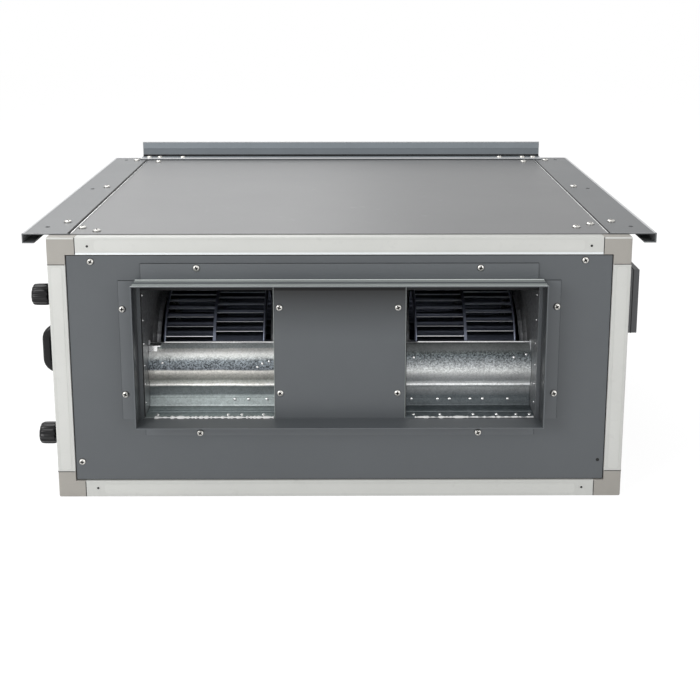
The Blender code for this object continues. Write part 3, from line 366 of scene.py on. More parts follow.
class Shape:
    """A mesh built from numpy arrays of points and faces."""

    def __init__(self):
        self.points = []
        self.faces = []
        self.count = 0

    def add(self, points, faces):
        """Points (n, 3) and faces as index rows into them."""
        self.points.append(np.asarray(points, float))
        self.faces.extend((np.asarray(face, int) + self.count).tolist() for face in faces)
        self.count += len(points)
        return self

    def placed(self, origin, axes):
        """A copy whose own x, y and z run along the three axes from the origin."""
        copy = Shape()
        copy.points = [np.asarray(origin, float) + np.concatenate(self.points) @ np.asarray(axes, float)]
        copy.faces, copy.count = self.faces, self.count
        return copy

    def take(self, *others):
        """Adds other shapes to this one."""
        for other in others:
            self.points.extend(other.points)
            self.faces.extend([[index + self.count for index in face] for face in other.faces])
            self.count += other.count
        return self

    def cuboids(self, *corners):
        """Adds a plain box for each pair of opposite corners."""
        return self.take(*(cuboid(*pair) for pair in corners))

    def object(self, name):
        """The mesh as an object of the scene."""
        mesh = bpy.data.meshes.new(name)
        mesh.from_pydata(np.concatenate(self.points).tolist(), [], self.faces)
        made = bpy.data.objects.new(name, mesh)
        bpy.context.scene.collection.objects.link(made)
        return made

    def piece(self, name, slot, finish, smooth=40.0, stands_for=(), share=None, body="casing"):
        """The mesh as a piece that rides on a body, in a finish of its own. The slot is not used."""
        piece = self.object(name)
        mesh = piece.data
        if share is not None:
            mesh.attributes.new("share", "FLOAT", "POINT").data.foreach_set("value", share)
        mesh.validate()
        mesh.polygons.foreach_set("use_smooth", np.ones(len(mesh.polygons), bool))
        mesh.materials.append(MATERIALS[finish])
        mesh.set_sharp_from_angle(angle=math.radians(smooth))
        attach(piece, body)
        if stands_for:
            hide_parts(*stands_for)


def grid_faces(rows, columns, wrap_rows=False):
    """The quads of a grid of points stored row by row, each row closed on itself."""
    i, j = np.meshgrid(np.arange(rows if wrap_rows else rows - 1), np.arange(columns), indexing="ij")
    a, b = i * columns + j, i * columns + (j + 1) % columns
    c, d = ((i + 1) % rows) * columns + (j + 1) % columns, ((i + 1) % rows) * columns + j
    return np.stack([a, b, c, d], -1).reshape(-1, 4)


def outward(points, faces):
    """The faces, turned over where they enclose a negative volume."""
    total = 0.0
    for face in faces:
        corners = points[np.asarray(face)]
        total += np.einsum("i,ji->j", corners[0], np.cross(corners[1:-1], corners[2:])).sum()
    return [list(face)[::-1] for face in faces] if total < 0 else [list(face) for face in faces]


def turned(profile, steps, closed=False):
    """Surface of revolution about z: radius and height of each profile point, carried round in equal steps.

    An open profile is capped with one face at each end.
    """
    profile = np.asarray(profile, float)
    points = np.zeros((len(profile), steps, 3))
    points[..., :2] = profile[:, None, :1] * circle(1.0, steps)
    points[..., 2] = profile[:, None, 1]
    points = points.reshape(-1, 3)
    faces = grid_faces(len(profile), steps, wrap_rows=closed).tolist()
    if not closed:
        faces.append(list(range(steps))[::-1])
        faces.append([(len(profile) - 1) * steps + index for index in range(steps)])
    return Shape().add(points, outward(points, faces))


def prism(outline, low, high):
    """An outline in x and y, carried from one height to another and closed at both ends."""
    outline = np.asarray(outline, float)
    count = len(outline)
    points = np.zeros((2 * count, 3))
    points[:, :2] = np.concatenate([outline, outline])
    points[:count, 2], points[count:, 2] = low, high
    faces = grid_faces(2, count).tolist()
    faces += [list(range(count))[::-1], list(range(count, 2 * count))]
    return Shape().add(points, outward(points, faces))


def lofted(sections):
    """Closed sections (rows, points, 3), joined in order and closed by one face at each end."""
    sections = np.asarray(sections, float)
    rows, count = sections.shape[:2]
    points = sections.reshape(-1, 3)
    faces = grid_faces(rows, count).tolist()
    faces += [list(range(count))[::-1], [(rows - 1) * count + index for index in range(count)]]
    return Shape().add(points, outward(points, faces))


def directions(path):
    """The unit direction of a path at each of its points."""
    along = np.gradient(path, axis=0)
    return along / np.linalg.norm(along, axis=1)[:, None]


def carried(path, section, side, top, scale=1.0):
    """A section carried along a path: its axes follow side and top, and a scale grows or shrinks it."""
    rings = section[None, :, :1] * side[:, None] + section[None, :, 1:] * top[:, None]
    return lofted(path[:, None] + scale * rings)


def swept(path, section, up, scale=1.0):
    """A section (n, 2) carried along a path (m, 3), square to it, its second axis kept near the given one."""
    path, along = np.asarray(path, float), directions(path)
    side = np.cross(along, np.asarray(up, float))
    side /= np.linalg.norm(side, axis=1)[:, None]
    return carried(path, np.asarray(section, float), side, np.cross(side, along), scale)


def circle(radius, steps):
    """Points of a circle about the origin."""
    angle = np.linspace(0.0, 2.0 * np.pi, steps, endpoint=False)
    return radius * np.stack([np.cos(angle), np.sin(angle)], -1)


def slab(width, height, corner, steps=4):
    """Outline of a rectangle about the origin with rounded corners."""
    corner = max(corner, 1e-5)
    turn = np.linspace(0.0, np.pi / 2.0, steps)
    points = []
    for quarter, (sx, sy) in enumerate(((1, 1), (-1, 1), (-1, -1), (1, -1))):
        angle = turn + quarter * np.pi / 2.0
        centre = np.array([sx * (width / 2.0 - corner), sy * (height / 2.0 - corner)])
        points.append(centre + corner * np.stack([np.cos(angle), np.sin(angle)], -1))
    return np.concatenate(points)


def block(low, high, corner=0.0):
    """A box between two opposite corners, its upright edges rounded."""
    low, high = np.minimum(low, high), np.maximum(low, high)
    size = high - low
    shape = prism(slab(size[0], size[1], corner), -size[2] / 2.0, size[2] / 2.0)
    return shape.placed((low + high) / 2.0, np.eye(3))


def cuboid(low, high):
    """A plain box of six faces between two opposite corners."""
    low, high = np.minimum(low, high), np.maximum(low, high)
    corners = np.array([(x, y, z) for z in (0, 1) for x, y in ((0, 0), (1, 0), (1, 1), (0, 1))])
    faces = [[3, 2, 1, 0], [4, 5, 6, 7], [0, 1, 5, 4], [1, 2, 6, 5], [2, 3, 7, 6], [3, 0, 4, 7]]
    return Shape().add(low + corners * (high - low), faces)


def bead(path, radius, steps=8, wander=0.0, seed=1):
    """A round bead along a path; its radius may wander at random from point to point."""
    path = np.asarray(path, float)
    up = (0.0, 0.0, 1.0) if abs(directions(path)[:, 2]).max() < 0.9 else (0.0, 1.0, 0.0)
    radii = radius * (1.0 + wander * np.random.default_rng(seed).uniform(-1.0, 1.0, len(path)))
    return swept(path, circle(1.0, steps), up, radii[:, None, None])


def straight(start, end, steps=2):
    """Points from one place to another in equal steps."""
    return np.linspace(np.asarray(start, float), np.asarray(end, float), steps)


def rod(start, end, radius):
    """A straight round bead from one place to another."""
    return bead(straight(start, end), radius)


def level_rod(half, y, z, radius):
    """A straight round bead along x, as far to the left as to the right."""
    return rod((-half, y, z), (half, y, z), radius)


FACING = {
    "front": ((1, 0, 0), (0, 0, 1), (0, -1, 0)),
    "back": ((-1, 0, 0), (0, 0, 1), (0, 1, 0)),
    "left": ((0, -1, 0), (0, 0, 1), (-1, 0, 0)),
    "right": ((0, 1, 0), (0, 0, 1), (1, 0, 0)),
    "up": ((1, 0, 0), (0, 1, 0), (0, 0, 1)),
    "down": ((1, 0, 0), (0, -1, 0), (0, 0, -1)),
}


# Fasteners


def cross_screw(head, rise, turn):
    """A pan head with a cross recess, axis z.

    The crown is a flat dome over rings and steps; the recess sinks it where a point lies near either arm.
    """
    rings, steps = 9, 32
    radius = head / 2.0 * np.linspace(0.0, 1.0, rings)[1:]
    angle = np.linspace(0.0, 2.0 * np.pi, steps, endpoint=False)
    r, a = np.meshgrid(radius, angle, indexing="ij")
    x, y = r * np.cos(a), r * np.sin(a)
    share = r / (head / 2.0)
    crown = rise * (1.0 - 0.55 * share**4)
    arm = np.minimum(abs(x * np.cos(turn) + y * np.sin(turn)), abs(y * np.cos(turn) - x * np.sin(turn)))
    sunk = np.clip((head * 0.09 - arm) / (head * 0.04), 0.0, 1.0) * np.clip((0.66 - share) / 0.12, 0.0, 1.0)
    crown = crown - sunk * rise * 0.55
    points = np.stack([x, y, crown], -1).reshape(-1, 3)
    skirt = np.stack([head / 2.0 * np.cos(angle), head / 2.0 * np.sin(angle), np.zeros(steps)], -1)
    points = np.concatenate([points, skirt, [[0.0, 0.0, rise * 0.45]]])
    faces = grid_faces(rings, steps).tolist()
    centre = len(points) - 1
    faces += [[centre, (index + 1) % steps, index] for index in range(steps)]
    faces.append([(rings - 1) * steps + index for index in range(steps)])
    return Shape().add(points, outward(points, faces))


def spun(angle):
    """The axes of a shape that is turned about its own z."""
    cosine, sine = math.cos(angle), math.sin(angle)
    return (cosine, sine, 0), (-sine, cosine, 0), (0, 0, 1)


def screw_shadow(head, rise, turn):
    """The dark parts of a set screw, all painted shade: the two arms of its recess and a ring for the shadow
    round its head.
    """
    shape = turned([(head * 0.56, 0.0), (head * 0.56, 0.0002), (head * 0.46, 0.0002)], 24)
    bar = prism(slab(head * 0.6, head * 0.13, head * 0.04, 2), rise * 0.4, rise * 0.93)
    return shape.take(*(bar.placed((0, 0, 0), spun(angle)) for angle in (turn, turn + math.pi / 2.0)))


def rivet(head):
    """A domed head with the pulled pin's dimple at its crown, axis z."""
    share = np.linspace(1.0, 0.25, 6)
    rise = head * 0.26 * np.sqrt(np.clip(1.0 - share**2, 0.0, 1.0))
    profile = [(head / 2.0 * s, z) for s, z in zip(share, rise)]
    profile = [(head / 2.0, -0.0001)] + profile + [(head * 0.1, head * 0.2)]
    return turned(profile, 16)


def hex_head(across, height, washer):
    """A hexagon head on a round washer, axis z."""
    bolt = turned([(washer, 0.0), (washer, 0.0009), (washer * 0.93, 0.0012)], 24)
    flat = circle(across / math.sqrt(3.0), 6)
    levels = ((1.0, 0.0012), (1.0, height * 0.82), (0.86, height))
    return bolt.take(lofted([np.concatenate([flat * scale, np.full((6, 1), z)], 1) for scale, z in levels]))


def scatter(form, places, facing):
    """One form at each place, facing one way."""
    shape = Shape()
    for place in places:
        shape.take(form.placed(place, FACING[facing]))
    return shape


# Finishes and places

MATERIALS = {}

# The tongue plates' painted highlights and painted shade: thousandths of the way up the sheet, then red,
# green and blue in hundredths.
LEFT_LIGHT_BANDS = (
    (0, 24, 27, 27), (85, 24, 27, 27), (100, 34, 38, 38), (215, 20, 23, 24), (240, 30, 33, 34),
    (300, 18, 20, 20), (318, 16, 18, 18), (330, 74, 80, 80), (350, 56, 62, 62), (430, 52, 58, 58),
    (445, 24, 27, 28), (520, 31, 34, 34), (532, 100, 100, 96), (600, 100, 99, 92), (614, 66, 63, 58),
    (705, 86, 84, 79), (722, 16, 18, 20), (805, 22, 25, 27), (850, 76, 78, 76), (880, 100, 100, 98),
    (918, 100, 100, 96), (934, 62, 67, 67), (985, 88, 92, 92), (992, 100, 100, 100),
)
RIGHT_LIGHT_BANDS = (
    (0, 10, 12, 13), (215, 16, 18, 19), (240, 11, 13, 14), (330, 15, 17, 18), (430, 14, 16, 17),
    (470, 34, 36, 37), (510, 66, 68, 68), (545, 95, 97, 97), (640, 100, 100, 100), (700, 82, 84, 83),
    (755, 42, 44, 45), (805, 21, 23, 24), (850, 13, 15, 16), (880, 16, 18, 18), (910, 38, 40, 40),
    (960, 46, 48, 47), (985, 30, 32, 32), (992, 100, 100, 100),
)

# Each finish: its key, its maker, its own name, its colour or bands, and what else the maker takes.
# A colour in words is one of the user's own, made lighter or darker by the number after it.
FINISHES = (
    ("frame_enamel", enamelled, "frame_enamel", "enamel"),
    ("corner_plastic", moulded, "corner", "corner", 0.55),
    ("panel_grey", coated, "panel", "panel"),
    ("rail_grey", coated, "roof", "roof", 0.4),
    ("angle_blue_grey", coated, "angle", "angle", 0.38),
    ("galvanised", spangled, "galvanised", "zinc", 0.26),
    # Light grey: the outlets' cut edges, and painted light on the collar's top.
    ("hem_grey", coated, "hem", (0.34, 0.37, 0.36), 0.3),
    # Painted highlights on the collar's rim and folds.
    ("collar_rim", coated, "collar_rim", (0.74, 0.78, 0.76), 0.28),
    # Painted shade on the collar's inner sides.
    ("collar_inside", coated, "collar_inside", (0.04, 0.043, 0.046), 0.3),
    # The rear angle's coat made lighter: painted light on its upper fold.
    ("angle_fold", coated, "angle_fold", "angle 1.35", 0.34),
    ("gloss_black", moulded, "gloss_black", "black", 0.18, 0.0001, 0.22),
    # The tongue plates: their bands are painted highlights and painted shade.
    ("left_tongue", rolled, "left_tongue", LEFT_LIGHT_BANDS, (0.712, 0.728, 0.8, 0.85)),
    ("right_tongue", rolled, "right_tongue", RIGHT_LIGHT_BANDS, (0.66, 0.86, 0.87, 0.905)),
    # Galvanised sheet made darker: painted shade on the blower's side sheets.
    ("scroll", spangled, "scroll", "zinc 0.55", 0.3),
    ("sealant", moulded, "sealant", (0.93, 0.94, 0.92), 0.3, 0.0006),
    ("bare_edge", metal, "bare_edge", (0.8, 0.81, 0.8), 0.22, (1.0, 1.0, 1.0), 300.0, 0.25),
    # Painted highlights along the edges of the rails and the rear angle.
    ("pale_edge", coated, "pale_edge", (0.56, 0.57, 0.58), 0.3),
    # The bars' raised bands and end rims, and the painted highlight on two corners' top edges.
    ("enamel_band", enamelled, "enamel_band", "enamel 1.06"),
    # Painted highlight along the top bar's lower edge.
    ("enamel_edge", enamelled, "enamel_edge", (0.86, 0.9, 0.91)),
    # Painted shadow: the panel's coat darkens towards the collar's top.
    ("shaded_panel", coated, "shaded_panel", "panel", 0.42, (0.334, 0.4467)),
    ("rail", coated, "rail", "rail", 0.4),
    ("collar", coated, "collar", "panel 1.15", 0.36),
    ("blade_steel", metal, "blade", (0.15, 0.165, 0.21), 0.34),
    # Painted highlights on the blades' tips.
    ("blade_tip", metal, "blade_tip", "zinc 1.3", 0.28),
    ("shaft_steel", metal, "shaft", "zinc 0.85", 0.24),
    ("motor_enamel", coated, "motor", (0.035, 0.036, 0.04), 0.38),
    ("black_plastic", moulded, "black", "black", 0.34, 0.0002),
    ("box_grey", coated, "box", "box", 0.46),
    ("fin_aluminium", metal, "fin", (0.66, 0.67, 0.68), 0.34, (1.0, 1.0, 0.05)),
    ("filter_white", woven, "medium", "medium"),
    ("copper", tarnished, "copper", "copper"),
    ("screw", metal, "screw", (0.64, 0.63, 0.6), 0.26, (1.0, 1.0, 1.0), 900.0),
    # Near black: dark joints and a seal, and painted shade in holes, recesses, seams, creases and under the
    # collar's top.
    ("dark_hole", moulded, "hole", (0.006, 0.006, 0.006), 0.8),
    # Foam strips and grommets, and the dark strips of painted shadow in the outlets.
    ("foam", foamed, "foam", (0.014, 0.014, 0.015)),
)

FRAME_FACE = -0.46
PANEL_FACE = -0.4575
FLANGE_FACE = -0.4598
ROOF_TOP = 0.5518
RAIL_TOP = 0.5528
ANGLE_TOP = 0.5551
DOOR_FACE = -0.575
RIGHT_FACE = 0.575
AXLE = (0.0, -0.232, 0.25)
WHEEL_CENTRE = 0.2645
DIVIDER_HALF = 0.132


def make_materials(colours):
    """Every finish of the unit, by name, as the table above says."""
    tones = {key: tuple(getattr(colours, key)) for key in FanCoilColours.__annotations__}
    MATERIALS.clear()
    for key, maker, name, tone, *others in FINISHES:
        if isinstance(tone, str):
            source, _, factor = tone.partition(" ")
            tone = shade(tones[source], float(factor)) if factor else tones[source]
        MATERIALS[key] = maker(f"{name}_finish", tone, *others)


def dress_nodes():
    """Gives every CAD node the finish of its slot."""
    slots = {row["node"]: row["material_slot"] for row in frame["record"]["subparts"]}
    for name, node in frame["nodes"].items():
        key = "rail" if name.startswith("hanger_rail") else slots[name]
        # The blower's side sheets take the darker galvanised finish: painted shade.
        key = "scroll" if "scroll_side" in name else key
        node.data.materials.clear()
        node.data.materials.append(MATERIALS[key])
        if name not in SMOOTH_NODES:
            soften(node)


SMOOTH_NODES = {"left_blower_wheel", "right_blower_wheel", "motor_shaft", "coil", "air_filter", "motor"}
ROUNDED = ("bar_", "post_", "corner_", "side_mullion")


def soften(node):
    """Rolls the sharp edges of a CAD node: triangles are joined, flats made whole and edges bevelled."""
    weld = node.modifiers.new("join", "WELD")
    weld.merge_threshold = 0.00002
    flat = node.modifiers.new("flats", "DECIMATE")
    flat.decimate_type = "DISSOLVE"
    flat.angle_limit = math.radians(0.5)
    roll = node.modifiers.new("roll", "BEVEL")
    roll.width = 0.0008 if node.name.startswith(ROUNDED) else 0.0004
    roll.segments = 2
    roll.limit_method = "ANGLE"
    roll.angle_limit = math.radians(40)
    roll.harden_normals = True


def sizes():
    """The sizes that the user has set."""
    return bpy.context.scene.fan_coil_sizes


class FANCOIL_OT_finishes(bpy.types.Operator):
    """Make the finishes and give each CAD node its own."""

    bl_idname = "fancoil.finishes"
    bl_label = "Finishes"

    def execute(self, context):
        make_materials(context.scene.fan_coil_colours)
        dress_nodes()
        return {"FINISHED"}


class FANCOIL_OT_fasteners(bpy.types.Operator):
    """Set the screws and rivets of the frame, panels, collar, roof, rails and angle."""

    bl_idname = "fancoil.fasteners"
    bl_label = "Fasteners"

    collar = (
        (-0.283, 0.487), (0.279, 0.487), (-0.284, 0.1405), (0.281, 0.1405),
        (-0.4325, 0.403), (-0.4325, 0.2235), (0.4325, 0.407), (0.4325, 0.2245),
    )
    panel = (
        (-0.1205, 0.405), (-0.1205, 0.2245), (0.1165, 0.405), (0.1165, 0.2245),
        (-0.492, 0.5), (0.486, 0.502), (-0.527, 0.077),
    )
    roof = ((-0.486, -0.417), (-0.521, -0.39), (0.481, -0.388), (0.515, -0.362), (-0.5, 0.38), (0.5, 0.38))
    rails = (-0.342, 0.026, 0.397)
    angle = (-0.534, -0.505, -0.441, 0.441, 0.505, 0.534)
    side = (-0.4, -0.2, 0.0, 0.2, 0.4)

    def execute(self, context):
        size = sizes()
        rise = size.screw_rise
        front = [(x, FLANGE_FACE, z) for x, z in self.collar] + [(x, PANEL_FACE, z) for x, z in self.panel]
        self.screws("front", size.screw_head, rise, {"front": front})
        top = [(x, y, ROOF_TOP) for x, y in self.roof]
        top += [(side * 0.563, y, RAIL_TOP) for side in (-1, 1) for y in self.rails]
        top += [(x, 0.431, ANGLE_TOP) for x in self.angle]
        self.screws("roof", size.roof_screw, rise * 1.2, {"up": top})
        right = [(RIGHT_FACE, y, z) for y in self.side for z in (0.056, 0.494)]
        left = [(DOOR_FACE, y, z) for z in (0.056, 0.494) for y in (0.068, 0.352)]
        self.screws("side", size.screw_head, rise, {"right": right, "left": left})
        self.holes()
        return {"FINISHED"}

    def screws(self, name, head, rise, faces):
        """Screws at the places of each face: the bright heads as one piece, their dark parts of painted shade
        as another.
        """
        bright, dark = Shape(), Shape()
        for facing, places in faces.items():
            for index, place in enumerate(places):
                turn = 0.35 + 1.1 * index
                bright.take(cross_screw(head, rise, turn).placed(place, FACING[facing]))
                dark.take(screw_shadow(head, rise, turn).placed(place, FACING[facing]))
        bright.piece(f"{name}_screws", "shaft_steel", "screw")
        dark.piece(f"{name}_screw_recesses", "shaft_steel", "dark_hole")

    def holes(self):
        """Countersunk fasteners at each end of every bar, rivets below and the one empty screw hole."""
        ring = turned([(0.004, 0.0), (0.004, 0.0006), (0.0034, 0.0009), (0.0026, 0.0007)], 24)
        # The pits are near black: painted shade in the holes.
        pit = turned([(0.0025, 0.0), (0.0025, 0.00085), (0.002, 0.0008)], 20)
        rims, pits = Shape(), Shape()
        ends = {"front": [(x, FRAME_FACE, z) for x in (-0.4965, 0.4965) for z in (0.02, 0.532)]}
        for facing, x in (("left", -0.5775), ("right", 0.5775)):
            ends[facing] = [(x, y, z) for y in (-0.38, 0.38) for z in (0.02, 0.53)]
        for facing, places in ends.items():
            rims.take(scatter(ring, places, facing))
            pits.take(scatter(pit, places, facing))
        empty = turned([(0.0036, 0.0), (0.0036, 0.00025)], 20)
        pits.take(scatter(empty, [(0.528, PANEL_FACE, 0.079)], "front"))
        rims.piece("bar_end_rims", "shaft_steel", "enamel_band")
        pits.piece("bar_end_holes", "shaft_steel", "dark_hole")
        flush = turned([(0.0045, -0.002), (0.0045, -0.0002), (0.0015, -0.0006)], 20)
        places = [(x, y, 0.0001) for x in (-0.45, -0.15, 0.15, 0.45) for y in (-0.408, 0.408)]
        scatter(flush, places, "down").piece("floor_rivets", "shaft_steel", "screw")


class FANCOIL_OT_stage(bpy.types.Operator):
    """Lay the pale floor and backdrop, hang the soft lights and set the camera."""

    bl_idname = "fancoil.stage"
    bl_label = "Stage"

    camera_place = (0.011, -2.483, 1.057)
    camera_pitch = math.radians(10.72)
    camera_yaw = math.radians(0.27)
    camera_lens = 54.52
    camera_shift = -0.25
    room_light = 0.42
    floor_glow = 1.22
    lamps = (
        ("lamp_above", (-1.0, 0.5, 2.9), (0.0, 0.1, 0.3), (2.6, 1.8), 40.0),
        ("lamp_front_left", (-2.5, -2.9, 1.6), (0.0, -0.3, 0.3), (1.5, 1.8), 60.0),
        ("lamp_front_right", (2.5, -2.9, 1.3), (0.0, -0.3, 0.3), (1.5, 1.5), 26.0),
        ("lamp_behind", (-0.9, 2.6, 2.1), (0.0, 0.2, 0.4), (2.2, 1.0), 16.0),
    )

    def execute(self, context):
        self.floor()
        self.room(context.scene)
        for name, place, target, size, power in self.lamps:
            self.lamp(name, place, target, size, power)
        self.camera(context.scene)
        context.scene.view_settings.view_transform = "Standard"
        return {"FINISHED"}

    def floor(self):
        """A pale floor far wider than the unit, white where the camera or a reflection sees it unshaded."""
        far, low = 9.0, -0.0006
        corners = [(-far, -far, low), (far, -far, low), (far, far, low), (-far, far, low)]
        floor = Shape().add(corners, [[0, 1, 2, 3]]).object("floor")
        net = fresh("floor_finish")
        matt = net.node("ShaderNodeBsdfDiffuse", {}, {"Color": (0.86, 0.86, 0.86, 1.0)})
        white = (1.0, 1.0, 1.0, 1.0)
        glow = net.node("ShaderNodeEmission", {}, {"Color": white, "Strength": self.floor_glow})
        blend = net.node("ShaderNodeMixShader", {}, {0: net.looked_at() * 0.74, 1: matt, 2: glow})
        net.node("ShaderNodeOutputMaterial", {}, {"Surface": blend})
        floor.data.materials.append(net.owner)

    def room(self, scene):
        """An even grey room that reads as white where it is seen or mirrored."""
        scene.world = bpy.data.worlds.new("room")
        net = Net(scene.world)
        white = (1.0, 1.0, 1.0, 1.0)
        grey = net.node("ShaderNodeBackground", {}, {"Color": white, "Strength": self.room_light})
        seen = net.node("ShaderNodeBackground", {}, {"Color": white, "Strength": 1.0})
        blend = net.node("ShaderNodeMixShader", {}, {0: net.looked_at(), 1: grey, 2: seen})
        net.node("ShaderNodeOutputWorld", {}, {"Surface": blend})

    def lamp(self, name, place, target, size, power):
        """A rectangular area lamp that faces the target."""
        data = bpy.data.lights.new(name, "AREA")
        data.shape = "RECTANGLE"
        data.size, data.size_y = size
        data.energy = power
        lamp = bpy.data.objects.new(name, data)
        lamp.location = place
        aim = Vector(target) - Vector(place)
        lamp.rotation_euler = aim.to_track_quat("-Z", "Y").to_euler()
        bpy.context.scene.collection.objects.link(lamp)

    def camera(self, scene):
        """The photograph's view: from the outlet side, a little above the roof."""
        data = bpy.data.cameras.new("camera")
        data.lens = self.camera_lens
        data.sensor_width = 36.0
        data.shift_y = self.camera_shift
        data.clip_start, data.clip_end = 0.05, 60.0
        camera = bpy.data.objects.new("camera", data)
        camera.location = self.camera_place
        camera.rotation_euler = (math.pi / 2.0 - self.camera_pitch, 0.0, -self.camera_yaw)
        scene.collection.objects.link(camera)
        scene.camera = camera


# Blower wheels


def across(shape, centre):
    """A shape whose own z axis is laid along X, its x along Y and its y along Z."""
    return shape.placed(centre, FACING["right"])


def blade_outline(inner, outer, lean, sheet):
    """A curved blade seen along the axle.

    The middle line leaves the inner radius straight out, and its angle grows as the square of the share of
    the way, so its tip leans forward; the two faces lie half a sheet to either side of it.
    """
    share = np.linspace(0.0, 1.0, 7)
    radius = inner + (outer - inner) * share
    angle = lean * share**2
    middle = np.stack([radius * np.cos(angle), radius * np.sin(angle)], -1)
    along = directions(middle)
    normal = np.stack([-along[:, 1], along[:, 0]], -1) * sheet / 2.0
    return np.concatenate([middle + normal, (middle - normal)[::-1]])


def blade_row(one, blades, offset):
    """A row of blades: one blade, turned by equal steps about the axle."""
    turns = 2.0 * np.pi * (np.arange(blades) + offset) / blades
    return Shape().take(*(one.placed((0, 0, 0), spun(turn)) for turn in turns))


def rolled_ring(radius, wide, roll, low):
    """A flat ring whose outer edge is rolled back: a closed profile turned about the axle."""
    turn = np.linspace(-np.pi / 2.0, np.pi / 2.0, 7)
    bead = [(radius - roll + roll * math.cos(a), low + roll + roll * math.sin(a)) for a in turn]
    profile = [(radius - wide, low + 0.001), (radius - wide, low)] + bead + [(radius - roll, low + 0.001)]
    return turned(profile, 88, closed=True)


def wheel_shape(blades, sheet):
    """A forward-curved wheel: two rows of blades half a step apart, a pressed disc and two end rings."""
    half, disc = 0.1068, 0.0012
    outline = blade_outline(0.1095, 0.1312, BLADE_LEAN, sheet)
    shape = blade_row(prism(outline, disc, half - 0.0006), blades, 0.0)
    shape.take(blade_row(prism(outline, -half + 0.0006, -disc), blades, 0.5))
    ring = rolled_ring(0.1328, 0.015, 0.0026, -half)
    shape.take(ring, ring.placed((0, 0, 0), FACING["down"]))
    shape.take(turned(WHEEL_PLATE, 88, closed=True))
    return shape


def blade_tips(blades, sheet):
    """The folded tips of all blades, a little thicker than the sheet and just outside it, in a bright finish
    that is a painted highlight.
    """
    tip = blade_outline(0.1296, 0.1316, 0.0, sheet * 1.5) @ np.array(spun(BLADE_LEAN))[:2, :2]
    rows = ((0.0012, 0.1062, 0.0), (-0.1062, -0.0012, 0.5))
    return Shape().take(*(blade_row(prism(tip, low, high), blades, offset) for low, high, offset in rows))


WHEEL_PLATE = (
    (0.0098, -0.018), (0.0215, -0.018), (0.0235, -0.016), (0.024, -0.0025), (0.04, -0.0008),
    (0.062, -0.0008), (0.066, -0.0032), (0.076, -0.0032), (0.08, -0.0008), (0.104, -0.0008),
    (0.1322, -0.0008), (0.133, -0.003), (0.133, 0.003), (0.1322, 0.0008), (0.08, 0.0008),
    (0.076, -0.0016), (0.066, -0.0016), (0.062, 0.0008), (0.024, 0.0025), (0.0235, 0.016),
    (0.0215, 0.018), (0.0098, 0.018),
)
LOCK_COLLAR = (
    (0.0098, -0.004), (0.0165, -0.004), (0.017, -0.0035), (0.017, 0.0035), (0.0165, 0.004), (0.0098, 0.004),
)
BLADE_LEAN = math.radians(11.0)


class FANCOIL_OT_wheels(bpy.types.Operator):
    """Make the two bladed wheels that replace the plain ones, on the turning shaft."""

    bl_idname = "fancoil.wheels"
    bl_label = "Blower wheels"

    def execute(self, context):
        blades, sheet = sizes().blades, sizes().blade_sheet
        for side, sign in (("left", -1), ("right", 1)):
            centre = (sign * WHEEL_CENTRE, AXLE[1], AXLE[2])
            wheel, plain = across(wheel_shape(blades, sheet), centre), (f"{side}_blower_wheel",)
            wheel.piece(f"{side}_bladed_wheel", "blade_steel", "blade_steel", 35.0, plain, body="rotor")
            tips = across(blade_tips(blades, sheet), centre)
            tips.piece(f"{side}_blade_tips", "blade_steel", "blade_tip", body="rotor")
            collar = turned(LOCK_COLLAR, 32, closed=True)
            collar = across(collar, (sign * (WHEEL_CENTRE + 0.0235), AXLE[1], AXLE[2]))
            collar.piece(f"{side}_lock_collar", "shaft_steel", "shaft_steel", body="rotor")
        return {"FINISHED"}


# Frame trim


